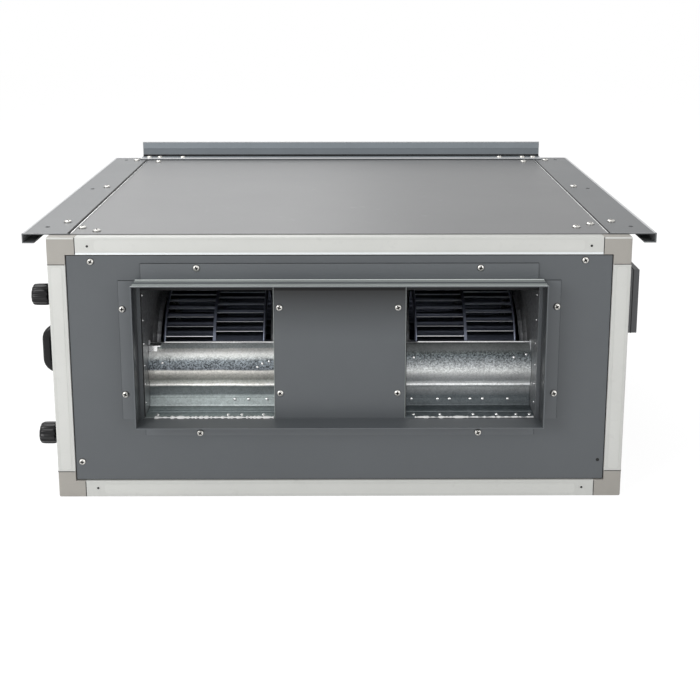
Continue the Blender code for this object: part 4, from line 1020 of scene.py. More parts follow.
class FANCOIL_OT_trim(bpy.types.Operator):
    """Make the raised bands of the bars, the joints at the corners, the roof's seams and the folded hems,
    with their painted highlights and shadows.
    """

    bl_idname = "fancoil.trim"
    bl_label = "Frame trim"

    def execute(self, context):
        self.bands()
        self.joints()
        self.seams()
        self.hems()
        return {"FINISHED"}

    def bands(self):
        """Shallow raised bands with rounded ends along the faces of bars and posts, and a painted highlight
        along the top bar's lower edge.
        """
        shape = Shape()
        rise, wide, levels = 0.0005, 0.0205, (0.018, 0.5335)
        strips = ((0.966, wide), (wide, 0.428), (0.736, wide))
        front, upright, side = (prism(slab(*size, 0.006), 0.0, rise) for size in strips)
        shape.take(scatter(front, [(0.0, FRAME_FACE, z) for z in levels], "front"))
        for sign, facing in ((-1, "left"), (1, "right")):
            x = sign * 0.5775
            shape.take(scatter(upright, [(sign * 0.5595, FRAME_FACE, 0.275)], "front"))
            shape.take(scatter(side, [(x, 0.0, z) for z in levels], facing))
            shape.take(scatter(upright, [(x, y, 0.275) for y in (-0.442, 0.442)], facing))
        shape.piece("bar_bands", "frame_enamel", "enamel_band")
        edge = block((-0.5205, -0.4606, 0.5148), (0.5205, -0.4597, 0.5188), 0.0003)
        edge.piece("bar_edge", "frame_enamel", "enamel_edge")

    def joints(self):
        """The dark slits where a bar ends at a corner piece, and a painted highlight on the top edge of two
        front corners.
        """
        half, slits, edge = 0.0007, Shape(), Shape()
        bars = (0.0, 0.514)
        for sx in (-1, 1):
            inner, outer = sx * 0.5765, sx * 0.5777
            for z in bars:
                x = sx * 0.5215
                slits.take(block((x - half, -0.4602, z + 0.0015), (x + half, -0.459, z + 0.0345)))
            for z in (0.056, 0.494):
                slits.take(block((sx * 0.543, -0.4602, z - half), (sx * 0.576, -0.459, z + half)))
                for sy in (-1, 1):
                    slits.take(block((inner, sy * 0.4255, z - half), (outer, sy * 0.4585, z + half)))
            for y in (-0.404, 0.404):
                for z in bars:
                    slits.take(block((inner, y - half, z + 0.0015), (outer, y + half, z + 0.0345)))
            edge.take(block((sx * 0.5225, -0.4604, 0.5462), (sx * 0.5768, -0.4597, 0.5494), 0.0003))
        edge.piece("corner_edges", "corner_plastic", "enamel_band")
        slits.piece("corner_joints", "corner_plastic", "dark_hole")

    def seams(self):
        """Dark beads of painted shadow in the gaps between roof and rails and along the roof's rear edge,
        with the roof sheet's turned-up edges beside them.
        """
        gap, edge = Shape(), Shape()
        front, rear = -0.4385, 0.408
        for sign, black in ((-1, 0.0027), (1, 0.0014)):
            x, z = sign * 0.536, RAIL_TOP - 0.0002
            gap.take(bead(straight((x, front, z), (x, rear, z), 90), black, 8, 0.12, 3))
            x, z = sign * 0.5326, ROOF_TOP + 0.0006
            edge.take(rod((x, front, z), (x, rear, z), 0.0011))
        gap.take(block((-0.5395, front, RAIL_TOP - 0.0002), (-0.534, rear, RAIL_TOP + 0.0006), 0.0002))
        # Painted shadow along the roof's rear edge, at the angle's foot.
        gap.take(level_rod(0.554, 0.409, ROOF_TOP + 0.0004, 0.0014))
        gap.piece("roof_seam_sealant", "black_plastic", "dark_hole")
        edge.piece("roof_sheet_edges", "rail_grey", "bare_edge")

    def hems(self):
        """Pale folded hems, coloured as painted highlights, along the rails' outer edges, their front and
        rear ends and the rear angle; the angle's crease gets a painted shadow and its fold painted light.
        """
        rails = Shape()
        z, end, low = RAIL_TOP - 0.0006, 0.4388, 0.5338
        for sign in (-1, 1):
            outer, lip = sign * 0.629, sign * 0.6265
            rails.take(rod((outer, -0.439, z), (outer, 0.439, z), 0.001))
            flat = (lip + 0.002, 0.4385, RAIL_TOP + 0.0004)
            rails.take(block((lip - 0.002, -0.4385, RAIL_TOP - 0.0002), flat))
            rails.take(rod((sign * 0.536, end, z), (outer, end, z), 0.001))
            rails.take(rod((sign * 0.54, -end, z), (outer, -end, z), 0.0008))
            rails.take(rod((sign * 0.606, -end, low), (sign * 0.6285, -end, low), 0.001))
        rails.piece("rail_hems", "rail_grey", "pale_edge")
        half, y, top = 0.5555, 0.4586, 0.5938
        angle = level_rod(half, y, top, 0.0012)
        for x in (-0.555, 0.555):
            angle.take(rod((x, y, 0.556), (x, y, top), 0.0009))
        angle.take(level_rod(half, 0.411, 0.5552, 0.0009))
        angle.take(block((-0.5545, 0.4118, 0.5549), (0.5545, 0.43, 0.5556), 0.0003))
        # A dark bead of painted shadow in the crease at the angle's foot.
        level_rod(0.5545, 0.457, 0.5575, 0.0022).piece("rear_angle_crease", "angle_blue_grey", "dark_hole")
        # A lighter band on the angle's upper fold: painted light.
        fold = block((-0.5545, 0.457, 0.577), (0.5545, 0.4584, 0.5925), 0.0004)
        fold.piece("rear_angle_fold", "angle_blue_grey", "angle_fold")
        angle.piece("rear_angle_hems", "angle_blue_grey", "pale_edge")


# Outlets


# The tongue plate seen from its side: y and z, from its foot up to its hem.
TONGUE = np.array([
    (-0.4545, 0.154), (-0.4545, 0.1685), (-0.452, 0.1712), (-0.428, 0.1712), (-0.4272, 0.1724),
    (-0.3975, 0.1724), (-0.3955, 0.1745), (-0.3936, 0.188), (-0.3922, 0.1888), (-0.39, 0.208),
    (-0.3912, 0.2115), (-0.3918, 0.215), (-0.39, 0.218), (-0.3903, 0.2205), (-0.3956, 0.2276),
    (-0.4004, 0.2398), (-0.402, 0.2528), (-0.4012, 0.26), (-0.3994, 0.268), (-0.3962, 0.2768),
    (-0.392, 0.2838), (-0.388, 0.2885), (-0.384, 0.2922), (-0.379, 0.296), (-0.3725, 0.2998),
    (-0.369, 0.3014),
])
OUTLET_HALF = 0.1318


def thickened(path, sheet):
    """A closed section: an open path and its copy set back by the sheet's thickness, square to it."""
    along = directions(path)
    back = path + np.stack([along[:, 1], -along[:, 0]], -1) * sheet
    return np.concatenate([path, back[::-1]])


def share_along(path):
    """The share of a path's length at each of its points."""
    steps = np.linalg.norm(np.diff(path, axis=0), axis=1)
    return np.concatenate([[0.0], np.cumsum(steps)]) / steps.sum()


class FANCOIL_OT_outlets(bpy.types.Operator):
    """Make the ribbed tongue plates in painted light and shade, the collar's sheets and hems of painted
    highlight, and the outlets' rivets and strips of painted shadow.
    """

    bl_idname = "fancoil.outlets"
    bl_label = "Outlets"

    shelf_rivets = {
        "left": (0.036, 0.064, 0.108, -0.108),
        "right": (-0.114, -0.06, 0.008, 0.056, 0.096, 0.124),
    }
    riser_rivets = {"left": (0.045, 0.074, 0.112), "right": (-0.116, -0.061, -0.036, 0.007, 0.033, 0.086)}
    barrel_rivets = {
        "left": (
            (0.104, -0.4, 0.2655), (0.094, -0.4014, 0.2585),
            (0.118, -0.3989, 0.27), (-0.103, -0.3996, 0.2672),
        ),
        "right": ((-0.112, -0.3962, 0.2768), (0.096, -0.3962, 0.2768), (0.122, -0.393, 0.282)),
    }
    sealant = {"left": (0.0026, 7, 0.65, 5), "right": (0.0017, 7, 0.85, 9)}

    def execute(self, context):
        for side, sign in (("left", -1), ("right", 1)):
            self.tongue(side, sign * WHEEL_CENTRE)
            self.walls(side, sign)
        self.collar()
        return {"FINISHED"}

    def tongue(self, side, middle):
        """The pressed plate below the outlet in bands of painted highlight and shade, its rolled hem, rivets
        and sealant, and the left one's ear.
        """
        section = thickened(TONGUE, 0.0011)
        stations = middle + np.linspace(-OUTLET_HALF, OUTLET_HALF, 25)
        share = np.concatenate([share_along(TONGUE), share_along(TONGUE)[::-1]])
        points = np.zeros((len(stations), len(section), 3))
        points[..., 0] = stations[:, None]
        points[..., 1:] = section
        offset = (stations - middle)[:, None]
        points[..., 1] += (0.0004 * np.sin(offset * 61.0) + 0.0003 * np.sin(offset * 173.0)) * (share > 0.5)
        replaced, share = (f"{side}_tongue_plate",), np.tile(share, len(stations))
        lofted(points).piece(f"{side}_tongue_skin", "galvanised", f"{side}_tongue", 28.0, replaced, share)
        left, right, (y, z) = middle - OUTLET_HALF, middle + OUTLET_HALF, TONGUE[-1]
        hem = rod((left + 0.03, y + 0.001, z - 0.0002), (right, y + 0.001, z - 0.0002), 0.0019)
        head = rivet(0.0074)
        hem.take(scatter(head, [(middle + x, -0.4405, 0.1712) for x in self.shelf_rivets[side]], "up"))
        hem.take(scatter(head, [(middle + x, -0.3944, 0.185) for x in self.riser_rivets[side]], "front"))
        if side == "left":
            hem.take(block((left, y - 0.02, z - 0.0028), (left + 0.025, y + 0.002, z - 0.0004), 0.003))
            hem.take(block((left, y - 0.0215, z - 0.012), (left + 0.018, y - 0.02, z - 0.0006), 0.0004))
        barrel = [(middle + x, y, z) for x, y, z in self.barrel_rivets[side]]
        hem.take(scatter(rivet(0.0062), barrel, "front"))
        hem.piece(f"{side}_tongue_hem", "galvanised", "bare_edge")
        line = straight((middle - 0.112, -0.4553, 0.1712), (right - 0.002, -0.4553, 0.1712), 64)
        bead(line, *self.sealant[side]).piece(f"{side}_sealant_line", "galvanised", "sealant")

    def walls(self, side, sign):
        """Stiffening arcs pressed into the blower's side sheets, rivets, the outlet's edge, and a dark strip
        of painted shadow.
        """
        arcs, studs, head = Shape(), Shape(), rivet(0.0046)
        centre, turn = sign * WHEEL_CENTRE, np.radians(np.linspace(158.0, 196.0, 15))
        for edge, facing in ((-1, "right"), (1, "left")):
            face = centre + edge * 0.1325 - edge * 0.0002
            for radius in (0.15, 0.158):
                arc = [np.full(15, face), AXLE[1] + radius * np.cos(turn), AXLE[2] + radius * np.sin(turn)]
                arcs.take(bead(np.stack(arc, -1), 0.0011, 6))
            places = [(face, -0.436, z) for z in (0.196, 0.236, 0.276, 0.322, 0.372, 0.424)]
            studs.take(scatter(head, places, facing))
        arcs.piece(f"{side}_pressed_arcs", "galvanised", "galvanised")
        inner = sign * DIVIDER_HALF
        edge = block((inner - 0.0005, -0.4588, 0.171), (inner + 0.0005, -0.4574, 0.46), 0.0002)
        edge.piece(f"{side}_outlet_edge", "panel_grey", "hem_grey")
        # A dark strip of painted shadow along the outlet's top and left side.
        seal = block((centre - 0.1322, -0.4566, 0.441), (centre + 0.1322, -0.4546, 0.4598))
        seal.take(block((centre - 0.1322, -0.4566, 0.174), (centre - 0.1302, -0.4546, 0.441)))
        seal.piece(f"{side}_outlet_seal", "black_plastic", "foam")
        studs.piece(f"{side}_wall_rivets", "shaft_steel", "bare_edge")

    def collar(self):
        """Beads of painted highlight along the collar's rim and folds, and thin skins of painted light and
        shade on its top, sides and the middle panel.
        """
        x, low, high, front, back = 0.4045, 0.17, 0.461, -0.505, -0.4598
        rim = front + 0.0012
        # Beads of painted highlight along the rim, its sides, the top fold and the bottom.
        bright = level_rod(x + 0.002, rim, high + 0.001, 0.0012)
        for side in (-x - 0.001, x + 0.001):
            bright.take(rod((side, rim, low), (side, rim, high), 0.001))
        bright.take(level_rod(x, back - 0.0022, high + 0.0022, 0.0013), level_rod(x, rim, low - 0.001, 0.001))
        bright.piece("collar_hems", "panel_grey", "collar_rim")
        inner, face = DIVIDER_HALF - 0.0006, PANEL_FACE + 0.0001
        for name, finish, corner, *ends in (
            # The collar's top, painted lighter where the light falls on it.
            ("top_skin", "hem_grey", 0.0, x, front + 0.0016, back - 0.003, high + 0.002, high + 0.0025),
            ("top_fold", "collar", 0.0, x, -0.489, -0.479, high + 0.0022, high + 0.0028),
            # Painted shadow on the middle panel below the collar's top.
            ("middle", "shaded_panel", 0.0001, inner, face - 0.0004, face, low + 0.002, high - 0.001),
            # A dark strip of painted shadow right under the collar's top.
            ("top_gap", "dark_hole", 0.0, inner, face - 0.0013, face, 0.4405, high - 0.0005),
        ):
            half, near, far, bottom, top = ends
            skin = block((-half, near, bottom), (half, far, top), corner)
            skin.piece("middle_panel_skin" if name == "middle" else f"collar_{name}", "panel_grey", finish)
        # Near-black skins of painted shade on the collar's inner sides.
        side_shade = Shape()
        for sign in (-1, 1):
            near = (sign * (x - 0.0007), front + 0.003, low + 0.002)
            side_shade.take(block(near, (sign * (x - 0.0002), back - 0.001, high - 0.002)))
        side_shade.piece("collar_side_skins", "panel_grey", "collar_inside")
        self.flanges(x, low, high, front, back)

    def flanges(self, x, low, high, front, back):
        """The collar's four folded sheets, whose flanges stop short of its corners, and their joints."""
        sheet, notch, wide, root = 0.002, 0.394, 0.4395, -0.4578
        face, line = PANEL_FACE - 0.0001, 0.0007
        dark = Shape()

        def fold(name, *corners):
            wall = Shape().take(*(block(near, far, 0.0004) for near, far in corners))
            wall.piece(f"collar_{name}_sheet", "panel_grey", "collar", 40.0, (f"collar_{name}",))

        def slit(x0, z0, x1, z1):
            dark.take(block((x0, face - 0.0005, z0), (x1, face, z1)))

        for name, edge, tip in (("bottom", low - sheet, 0.135), ("top", high, 0.496)):
            near = edge + sheet / 2.0
            fold(
                name,
                ((-x - sheet, front, edge), (x + sheet, root, edge + sheet)),
                ((-notch, back, near), (notch, root, tip)),
            )
            slit(-notch, tip - line, notch, tip + line)
            for end in (-notch, notch):
                slit(end - line, near, end + line, tip)
        for name, sign in (("left", -1), ("right", 1)):
            near, tip = sign * (x + sheet / 2.0), sign * wide
            fold(
                name,
                ((sign * x, front, low + 0.0001), (sign * (x + sheet), root, high - 0.0001)),
                ((near, back, low), (tip, root, high)),
            )
            slit(tip - line, low, tip + line, high)
            for end in (low, high):
                slit(near, end - line, tip, end + line)
        dark.piece("flange_joints", "panel_grey", "dark_hole")


# Door fittings

KNOB_PLACES = {"lower": 0.111, "upper": 0.413}
KNOB_Y = -0.391


def fluted_head(radius, flute, lobes, reach, back):
    """A fluted grip along z.

    Its radius falls by half the flute's depth times one minus the cosine of the lobes' angle. Both ends are
    rounded, the far one more, and the flutes fade towards the crown.
    """
    angle = np.linspace(0.0, 2.0 * np.pi, lobes * 8, endpoint=False)
    share = np.array([0.0, 0.03, 0.08, 0.2, 0.45, 0.7, 0.86, 0.94, 0.985, 1.0, 1.0])
    scale = np.array([0.9, 0.96, 0.99, 1.0, 1.0, 0.995, 0.97, 0.92, 0.84, 0.7, 0.5])
    depth = np.array([0.4, 0.8, 1.0, 1.0, 1.0, 1.0, 0.9, 0.7, 0.4, 0.1, 0.0])
    wave = (1.0 - np.cos(lobes * angle)) / 2.0
    rho = radius * scale[:, None] - flute * depth[:, None] * wave[None]
    z = back + reach * share
    z[-1] -= 0.0012
    rings = np.stack([rho * np.cos(angle), rho * np.sin(angle), np.broadcast_to(z[:, None], rho.shape)], -1)
    return lofted(rings)


def bridge_path(reach, half, slant, steps=8):
    """The middle line of a bridge handle in its own plane.

    It goes out along a slanted arm, round a quadratic curve on to the grip, and back the same way.
    """
    foot, knee = np.array([0.0, half]), np.array([reach, half - slant])
    share = np.linspace(0.0, 1.0, steps)[:, None]
    start, end = foot + (knee - foot) * 0.6, knee * (1.0, 0.6)
    curve = start * (1.0 - share) ** 2 + knee * 2.0 * share * (1.0 - share) + end * share ** 2
    arm = np.concatenate([foot[None], curve])
    return np.concatenate([arm, (arm * (1.0, -1.0))[::-1]])


class FANCOIL_OT_door_fittings(bpy.types.Operator):
    """Make the latch knobs, the bridge handle and the hinge pins and screws."""

    bl_idname = "fancoil.door_fittings"
    bl_label = "Door fittings"

    def execute(self, context):
        for level, height in KNOB_PLACES.items():
            self.knob(level, (DOOR_FACE, KNOB_Y, height))
        self.handle()
        self.hinges()
        return {"FINISHED"}

    def knob(self, level, place):
        """A fluted knob on its neck and flange, with its spindle, and the pawl inside the door."""
        grip = fluted_head(0.0228, 0.0022, 12, 0.033, 0.0192)
        profile = ((0.015, 0.0004), (0.015, 0.003), (0.0138, 0.004), (0.0124, 0.0048),
                   (0.0122, 0.018), (0.015, 0.0195))
        cap = turned([(0.0088, 0.05), (0.0088, 0.0518), (0.008, 0.0524), (0.003, 0.052)], 28)
        body, plain = f"{level}_knob", (f"{level}_latch_knob",)
        knob = grip.take(turned(profile, 32), cap).placed(place, FACING["left"])
        knob.piece(f"{level}_knob_grip", "black_plastic", "gloss_black", 50.0, plain, body=body)
        pawl = prism(slab(0.013, 0.0355, 0.0025) + (0.0, 0.01125), -0.0304, -0.0274)
        spindle = turned([(0.0042, -0.0318), (0.0046, -0.0312), (0.0046, 0.01)], 20)
        nut = hex_head(0.01, 0.0036, 0.0052).placed((0, 0, -0.0304), FACING["down"])
        works = pawl.take(spindle, nut).placed(place, FACING["left"])
        works.piece(f"{level}_latch_pawl", "shaft_steel", "shaft_steel", body=body)

    def handle(self):
        """A bridge handle of rounded section between two screwed feet."""
        middle = np.array([DOOR_FACE, -0.376, 0.292])
        path = bridge_path(0.0332, 0.051, 0.0165)
        points = np.stack([middle[0] - path[:, 0], np.full(len(path), middle[1]), middle[2] + path[:, 1]], -1)
        arch = swept(points, slab(0.0185, 0.0195, 0.006, 4)[:, ::-1], (0.0, 1.0, 0.0))
        foot = prism(slab(0.0195, 0.02, 0.004), 0.0004, 0.0052)
        arch.take(scatter(foot, [middle + (0, 0, z) for z in (-0.0516, 0.0516)], "left"))
        plain = ("door_handle",)
        arch.piece("bridge_handle", "black_plastic", "gloss_black", 45.0, plain, body="access_door")

    def hinges(self):
        """Pin heads on the knuckles, and two screws in each leaf."""
        screw = cross_screw(0.0072, 0.0018, 0.3)
        dome = turned([(0.003, 0.0), (0.003, 0.0005), (0.0024, 0.0013), (0.001, 0.0017)], 16)
        for level, low, high in (("lower", 0.11, 0.174), ("upper", 0.415, 0.479)):
            pins = scatter(dome, [(-0.5833, 0.011, high)], "up")
            pins.take(scatter(dome, [(-0.5833, 0.011, low)], "down"))
            pins.piece(f"{level}_hinge_pin_heads", "shaft_steel", "screw")
            middle = (low + high) / 2.0
            for leaf, y, body in (("door", -0.006, "access_door"), ("frame", 0.029, "casing")):
                places = [(DOOR_FACE - 0.0023, y, z) for z in (middle - 0.02, middle + 0.02)]
                leaf_screws = scatter(screw, places, "left")
                leaf_screws.piece(f"{level}_hinge_{leaf}_screws", "shaft_steel", "screw", body=body)


# Filter, coil, motor and boxes


def ribbon(path, sheet, low, high):
    """A folded sheet: a path in x and y given a thickness, carried from one height to another, in quads."""
    path = np.asarray(path, float)
    count = len(path)
    loop = thickened(path, sheet)
    points = np.zeros((4 * count, 3))
    points[:, :2] = np.concatenate([loop, loop])
    points[:2 * count, 2], points[2 * count:, 2] = low, high
    faces = grid_faces(2, 2 * count).tolist()
    for level in (0, 2 * count):
        a = level + np.arange(count - 1)
        b = level + 2 * count - 1 - np.arange(count - 1)
        quads = np.stack([a, a + 1, b - 1, b], -1)
        faces += (quads if level == 0 else quads[:, ::-1]).tolist()
    return Shape().add(points, outward(points, faces))


def tube(start, end, outer, inner, steps):
    """An open pipe with a wall, from one place to another along x."""
    far = end[0] - start[0]
    profile = [(inner, 0.0), (outer - 0.0003, 0.0), (outer, 0.0004), (outer, far), (inner, far)]
    return turned(profile, steps, closed=True).placed(start, FACING["right"])


class FANCOIL_OT_filter(bpy.types.Operator):
    """Make the sliding filter: a channel frame, the pleated cloth, its wire guards and a pull."""

    bl_idname = "fancoil.filter"
    bl_label = "Filter"

    low = np.array((-0.575, 0.3719, 0.056))
    high = np.array((0.5162, 0.4219, 0.494))
    border = 0.0215
    middle = 0.3969

    def execute(self, context):
        low, high, border = self.low, self.high, self.border
        start, end = low[0] + border, high[0] - border
        count = max(8, round((end - start) / sizes().pleat_pitch))
        x = np.linspace(start, end, count * 12 + 1)
        angle = (x - start) / (end - start) * count * 2.0 * math.pi
        wave = 0.0365 / math.pi * np.arcsin(0.975 * np.sin(angle))
        cloth = ribbon(np.stack([x, self.middle + wave], -1), 0.0011, low[2] + border, high[2] - border)
        cloth.piece("filter_cloth", "filter_white", "filter_white", 50.0, ("air_filter",), body="filter")
        self.frame()
        self.guards(start, end)
        return {"FINISHED"}

    def frame(self):
        """Four channels with turned-in lips, corner rivets and a wire pull on the left end."""
        (x0, y0, z0), (x1, y1, z1), sheet = self.low, self.high, 0.0012
        shape = Shape()
        near, far = y0 + sheet, y1 - sheet
        for front, rear, wide in ((y0, near, self.border), (far, y1, self.border), (near, far, sheet)):
            shape.cuboids(
                ((x0, front, z0), (x0 + wide, rear, z1)),
                ((x1 - wide, front, z0), (x1, rear, z1)),
                ((x0 + wide, front, z0), (x1 - wide, rear, z0 + wide)),
                ((x0 + wide, front, z1 - wide), (x1 - wide, rear, z1)),
            )
        shape.piece("filter_frame", "galvanised", "galvanised", body="filter")
        head, inset = rivet(0.0052), 0.011
        corners = [(x, z) for x in (x0 + inset, x1 - inset) for z in (z0 + inset, z1 - inset)]
        studs = scatter(head, [(x, y1 - 0.0002, z) for x, z in corners], "back")
        studs.take(scatter(head, [(x, y0 + 0.0002, z) for x, z in corners], "front"))
        path = bridge_path(0.011, 0.03, 0.006, 6)
        points = np.stack([x0 - path[:, 0], np.full(len(path), self.middle), 0.275 + path[:, 1]], -1)
        studs.take(swept(points, circle(0.0019, 10), (0.0, 1.0, 0.0)))
        for z in (0.245, 0.305):
            foot = (x0 - 0.001, self.middle - 0.006, z - 0.005)
            studs.cuboids((foot, (x0, self.middle + 0.006, z + 0.005)))
        studs.piece("filter_rivets_and_pull", "shaft_steel", "shaft_steel", body="filter")

    def guards(self, start, end):
        """Welded wires in both directions over each face of the cloth."""
        low, high, half = self.low, self.high, 0.00055
        shape = Shape()
        for y in (low[1] + 0.0022, high[1] - 0.0022):
            for x in np.linspace(start, end, 24)[1:-1]:
                shape.cuboids(((x - half, y - half, low[2] + 0.004), (x + half, y + half, high[2] - 0.004)))
            level = y + 0.0008
            for z in np.linspace(low[2] + self.border, high[2] - self.border, 10)[1:-1]:
                near = (start - 0.016, level - half, z - half)
                shape.cuboids((near, (end + 0.016, level + half, z + half)))
        shape.piece("filter_guard_wires", "shaft_steel", "shaft_steel", body="filter")


class FANCOIL_OT_coil(bpy.types.Operator):
    """Make the coil: hundreds of fins between two end plates, return bends, headers and open stubs."""

    bl_idname = "fancoil.coil"
    bl_label = "Coil"

    rows = (0.22, 0.25, 0.28, 0.31)
    stubs = ((0.235, 0.15), (0.295, 0.4))
    grommets = ((0.235, 0.15, 0.0135, 0.019), (0.295, 0.4, 0.0135, 0.019), (0.265, 0.0663, 0.0112, 0.016))

    def execute(self, context):
        half = 0.4975
        fins, plates = Shape(), Shape()
        for x in np.linspace(-half, half, int(2.0 * half / sizes().fin_pitch)):
            fins.cuboids(((x - 0.00012, 0.2035, 0.0615), (x + 0.00012, 0.3265, 0.492)))
        fins.piece("coil_fins", "fin_aluminium", "fin_aluminium", 30.0, ("coil",))
        for side in (-1, 1):
            plates.take(block((side * 0.5, 0.2, 0.0536), (side * 0.4982, 0.33, 0.5)))
            for z in (0.0536, 0.4982):
                plates.take(block((side * 0.5, 0.2, z), (side * 0.482, 0.33, z + 0.0018)))
        plates.piece("coil_end_plates", "galvanised", "galvanised")
        self.pipes()
        return {"FINISHED"}

    def pipes(self):
        """Return bends on both plates, the two headers with their feeders, and the stubs that reach out."""
        shape, cups = Shape(), Shape()
        turn = np.linspace(0.0, np.pi, 9)
        levels = np.linspace(0.1, 0.463, 12)
        radius = (levels[1] - levels[0]) / 2.0
        for side, rows in ((1, self.rows), (-1, (0.265,))):
            for index, y in enumerate(rows):
                for z in levels[index % 2:-1:2]:
                    reach, rise = radius * np.sin(turn), radius - radius * np.cos(turn)
                    bend = np.stack([side * (0.5 + reach), np.full(9, y), z + rise], -1)
                    shape.take(bead_bend(bend, 0.005))
        header = turned([(0.01, 0.099), (0.014, 0.103), (0.014, 0.48), (0.01, 0.484)], 24)
        ring = turned([(0.0133, 0.0), (0.0156, 0.0006), (0.0164, 0.003), (0.0133, 0.006)], 28)
        for y, z in self.stubs:
            shape.take(header.placed((-0.52, y, 0.0), np.eye(3)))
            for level in levels:
                shape.take(tube((-0.509, y, level), (-0.499, y, level), 0.005, 0.004, 12))
            shape.take(tube((-0.627, y, z), (-0.518, y, z), 0.01325, 0.011, 28))
            shape.take(ring.placed((-0.533, y, z), FACING["right"]))
        shape.piece("coil_pipes", "fin_aluminium", "copper", 50.0)
        for y, z, inner, outer in self.grommets:
            cup = [(inner, -0.004), (inner, 0.0016), (outer - 0.0015, 0.0016), (outer, 0.0004),
                   (outer, 0.0001), (inner + 0.002, 0.0001), (inner + 0.002, -0.004)]
            cups.take(turned(cup, 32, closed=True).placed((DOOR_FACE, y, z), FACING["left"]))
        cups.piece("pipe_grommets", "black_plastic", "foam")


def bead_bend(path, radius):
    """A round pipe bent in the plane of x and z."""
    side = np.broadcast_to((0.0, 1.0, 0.0), path.shape)
    return carried(path, circle(radius, 8), side, np.cross(side, directions(path)))


MOTOR_BELL = (
    (0.01, 0.0985), (0.0185, 0.0985), (0.0196, 0.0975), (0.0215, 0.086), (0.03, 0.085), (0.034, 0.08),
    (0.056, 0.079), (0.06, 0.082), (0.064, 0.0835), (0.07, 0.08), (0.076, 0.07), (0.079, 0.062),
    (0.0792, 0.056), (0.01, 0.056),
)


class FANCOIL_OT_motor(bpy.types.Operator):
    """Make the ribbed motor with its end bells, through bolts and straps."""

    bl_idname = "fancoil.motor"
    bl_label = "Motor"

    def execute(self, context):
        ribs, straps = 40, Shape()
        radius = np.where(np.arange(ribs * 4) % 4 < 2, 0.0792, 0.0745)
        body = prism(radius[:, None] * circle(1.0, ribs * 4), -0.056, 0.056)
        bolt = hex_head(0.007, 0.004, 0.005)
        for side in (1.0, -1.0):
            body.take(turned([(r, side * x) for r, x in MOTOR_BELL], 64, closed=True))
            for angle in np.arange(4) * np.pi / 2.0 + np.pi / 4.0:
                place = (0.069 * math.cos(angle), 0.069 * math.sin(angle), side * 0.0795)
                body.take(bolt.placed(place, ((1, 0, 0), (0, side, 0), (0, 0, side))))
        across(body, AXLE).piece("motor_body", "motor_enamel", "motor_enamel", 35.0, ("motor",))
        for x in (-0.03, 0.03):
            low, high = x - 0.006, x + 0.006
            band = turned([(0.0793, low), (0.08, low), (0.08, high), (0.0793, high)], 64, closed=True)
            straps.take(across(band, AXLE))
        straps.piece("motor_straps", "shaft_steel", "shaft_steel")
        return {"FINISHED"}


class FANCOIL_OT_terminal_box(bpy.types.Operator):
    """Fit the terminal box with lid screws, a seal and two blanked cable glands."""

    bl_idname = "fancoil.terminal_box"
    bl_label = "Terminal box"

    def execute(self, context):
        (y0, z0), (y1, z1), inset = (-0.362, 0.318), (-0.182, 0.455), 0.01
        bright, dark = Shape(), Shape()
        places = [(0.622, y, z) for y in (y0 + inset, y1 - inset) for z in (z0 + inset, z1 - inset)]
        for index, place in enumerate(places):
            bright.take(cross_screw(0.008, 0.002, 0.5 + index).placed(place, FACING["right"]))
            # The screws' dark parts are painted shade.
            dark.take(screw_shadow(0.008, 0.002, 0.5 + index).placed(place, FACING["right"]))
        bright.piece("lid_screws", "shaft_steel", "screw")
        out, lap = 0.0006, 0.0004
        for ya, za, yb, zb in (
            (y0 - out, z0 - out, y1 + out, z0 + lap), (y0 - out, z1 - lap, y1 + out, z1 + out),
            (y0 - out, z0 + lap, y0 + lap, z1 - lap), (y1 - lap, z0 + lap, y1 + out, z1 - lap),
        ):
            dark.cuboids(((0.6088, ya, za), (0.6102, yb, zb)))
        dark.piece("lid_seal_and_recesses", "box_grey", "dark_hole")
        profile = ((0.0085, 0.0), (0.0085, 0.008), (0.0078, 0.0125), (0.0055, 0.015), (0.004, 0.015))
        gland = turned(profile, 28)
        gland.take(hex_head(0.0195, 0.0052, 0.0112))
        glands = scatter(gland, [(0.592, y, z0) for y in (-0.315, -0.255)], "down")
        glands.piece("cable_glands", "black_plastic", "black_plastic")
        return {"FINISHED"}


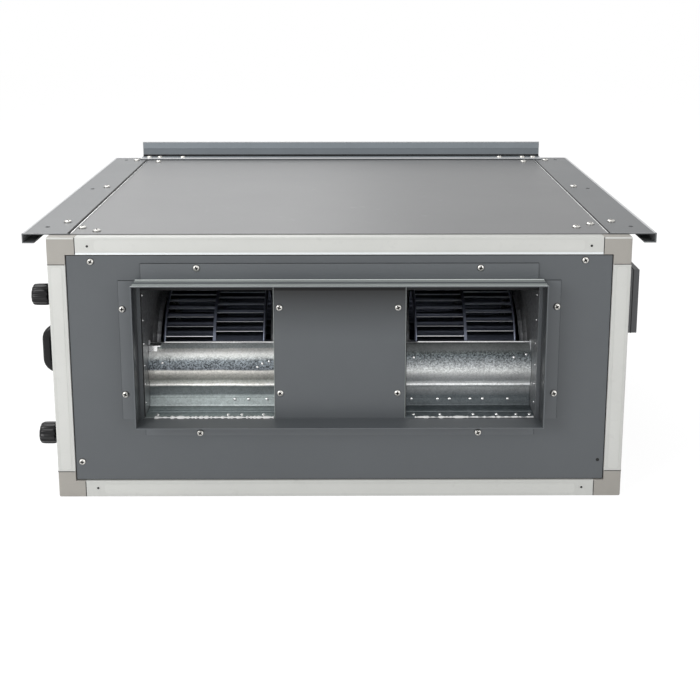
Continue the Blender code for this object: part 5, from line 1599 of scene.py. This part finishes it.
class FANCOIL_OT_seals(bpy.types.Operator):
    """Lay the foam strips in the gaps round the panels and behind the door."""

    bl_idname = "fancoil.seals"
    bl_label = "Seals"

    def execute(self, context):
        shape, levels, (low, high) = Shape(), (0.0362, 0.5122), (0.038, 0.512)
        for sign in (-1, 1):
            shape.cuboids(((sign * 0.5414, -0.422, 0.006), (sign * 0.5397, 0.422, 0.0255)))
        for sign in (-1, 1):
            shape.cuboids(((-0.5415, sign * 0.4239, 0.006), (0.5415, sign * 0.4222, 0.0255)))
        for x, y0, y1 in ((-0.57, 0.05, 0.37), (0.552, -0.422, 0.422), (-0.57, -0.42, 0.008)):
            for z in levels:
                shape.cuboids(((x, y0, z), (x + 0.018, y1, z + 0.0016)))
        for x, y in ((-0.57, 0.0483), (0.552, -0.4238), (0.552, 0.4222)):
            shape.cuboids(((x, y, low), (x + 0.018, y + 0.0015, high)))
        for sign in (-1, 1):
            shape.cuboids(((sign * 0.5413, -0.455, low), (sign * 0.5397, -0.434, high)))
        for z in levels:
            shape.cuboids(((-0.5395, -0.455, z), (0.5395, -0.434, z + 0.0016)))
        shape.piece("panel_seals", "black_plastic", "foam")
        return {"FINISHED"}


class FANCOIL_PT_sidebar(bpy.types.Panel):
    """Lists the steps that dress the unit."""

    bl_idname = "FANCOIL_PT_sidebar"
    bl_label = "Fan Coil"
    bl_space_type = "VIEW_3D"
    bl_region_type = "UI"
    bl_category = "Fan Coil"

    def draw(self, context):
        column = self.layout.column()
        for step in STEPS:
            column.operator(step.bl_idname)
        for group in (context.scene.fan_coil_sizes, context.scene.fan_coil_colours):
            for key in group.bl_rna.properties.keys():
                if key not in ("rna_type", "name"):
                    column.prop(group, key)


STEPS = (
    FANCOIL_OT_finishes,
    FANCOIL_OT_fasteners,
    FANCOIL_OT_trim,
    FANCOIL_OT_wheels,
    FANCOIL_OT_outlets,
    FANCOIL_OT_door_fittings,
    FANCOIL_OT_filter,
    FANCOIL_OT_coil,
    FANCOIL_OT_motor,
    FANCOIL_OT_terminal_box,
    FANCOIL_OT_seals,
    FANCOIL_OT_stage,
)
CLASSES = (FanCoilSizes, FanCoilColours) + STEPS + (FANCOIL_PT_sidebar,)


def register():
    """Adds the properties, the steps and the panel."""
    for item in CLASSES:
        bpy.utils.register_class(item)
    bpy.types.Scene.fan_coil_sizes = PointerProperty(type=FanCoilSizes)
    bpy.types.Scene.fan_coil_colours = PointerProperty(type=FanCoilColours)


def unregister():
    """Removes them again."""
    del bpy.types.Scene.fan_coil_sizes
    del bpy.types.Scene.fan_coil_colours
    for item in reversed(CLASSES):
        bpy.utils.unregister_class(item)


def main():
    """Registers everything and takes the steps in order."""
    register()
    for step in STEPS:
        area, name = step.bl_idname.split(".")
        if "FINISHED" not in getattr(getattr(bpy.ops, area), name)():
            raise RuntimeError(f"{step.bl_label} didn't finish")


if __name__ == "__main__":
    main()
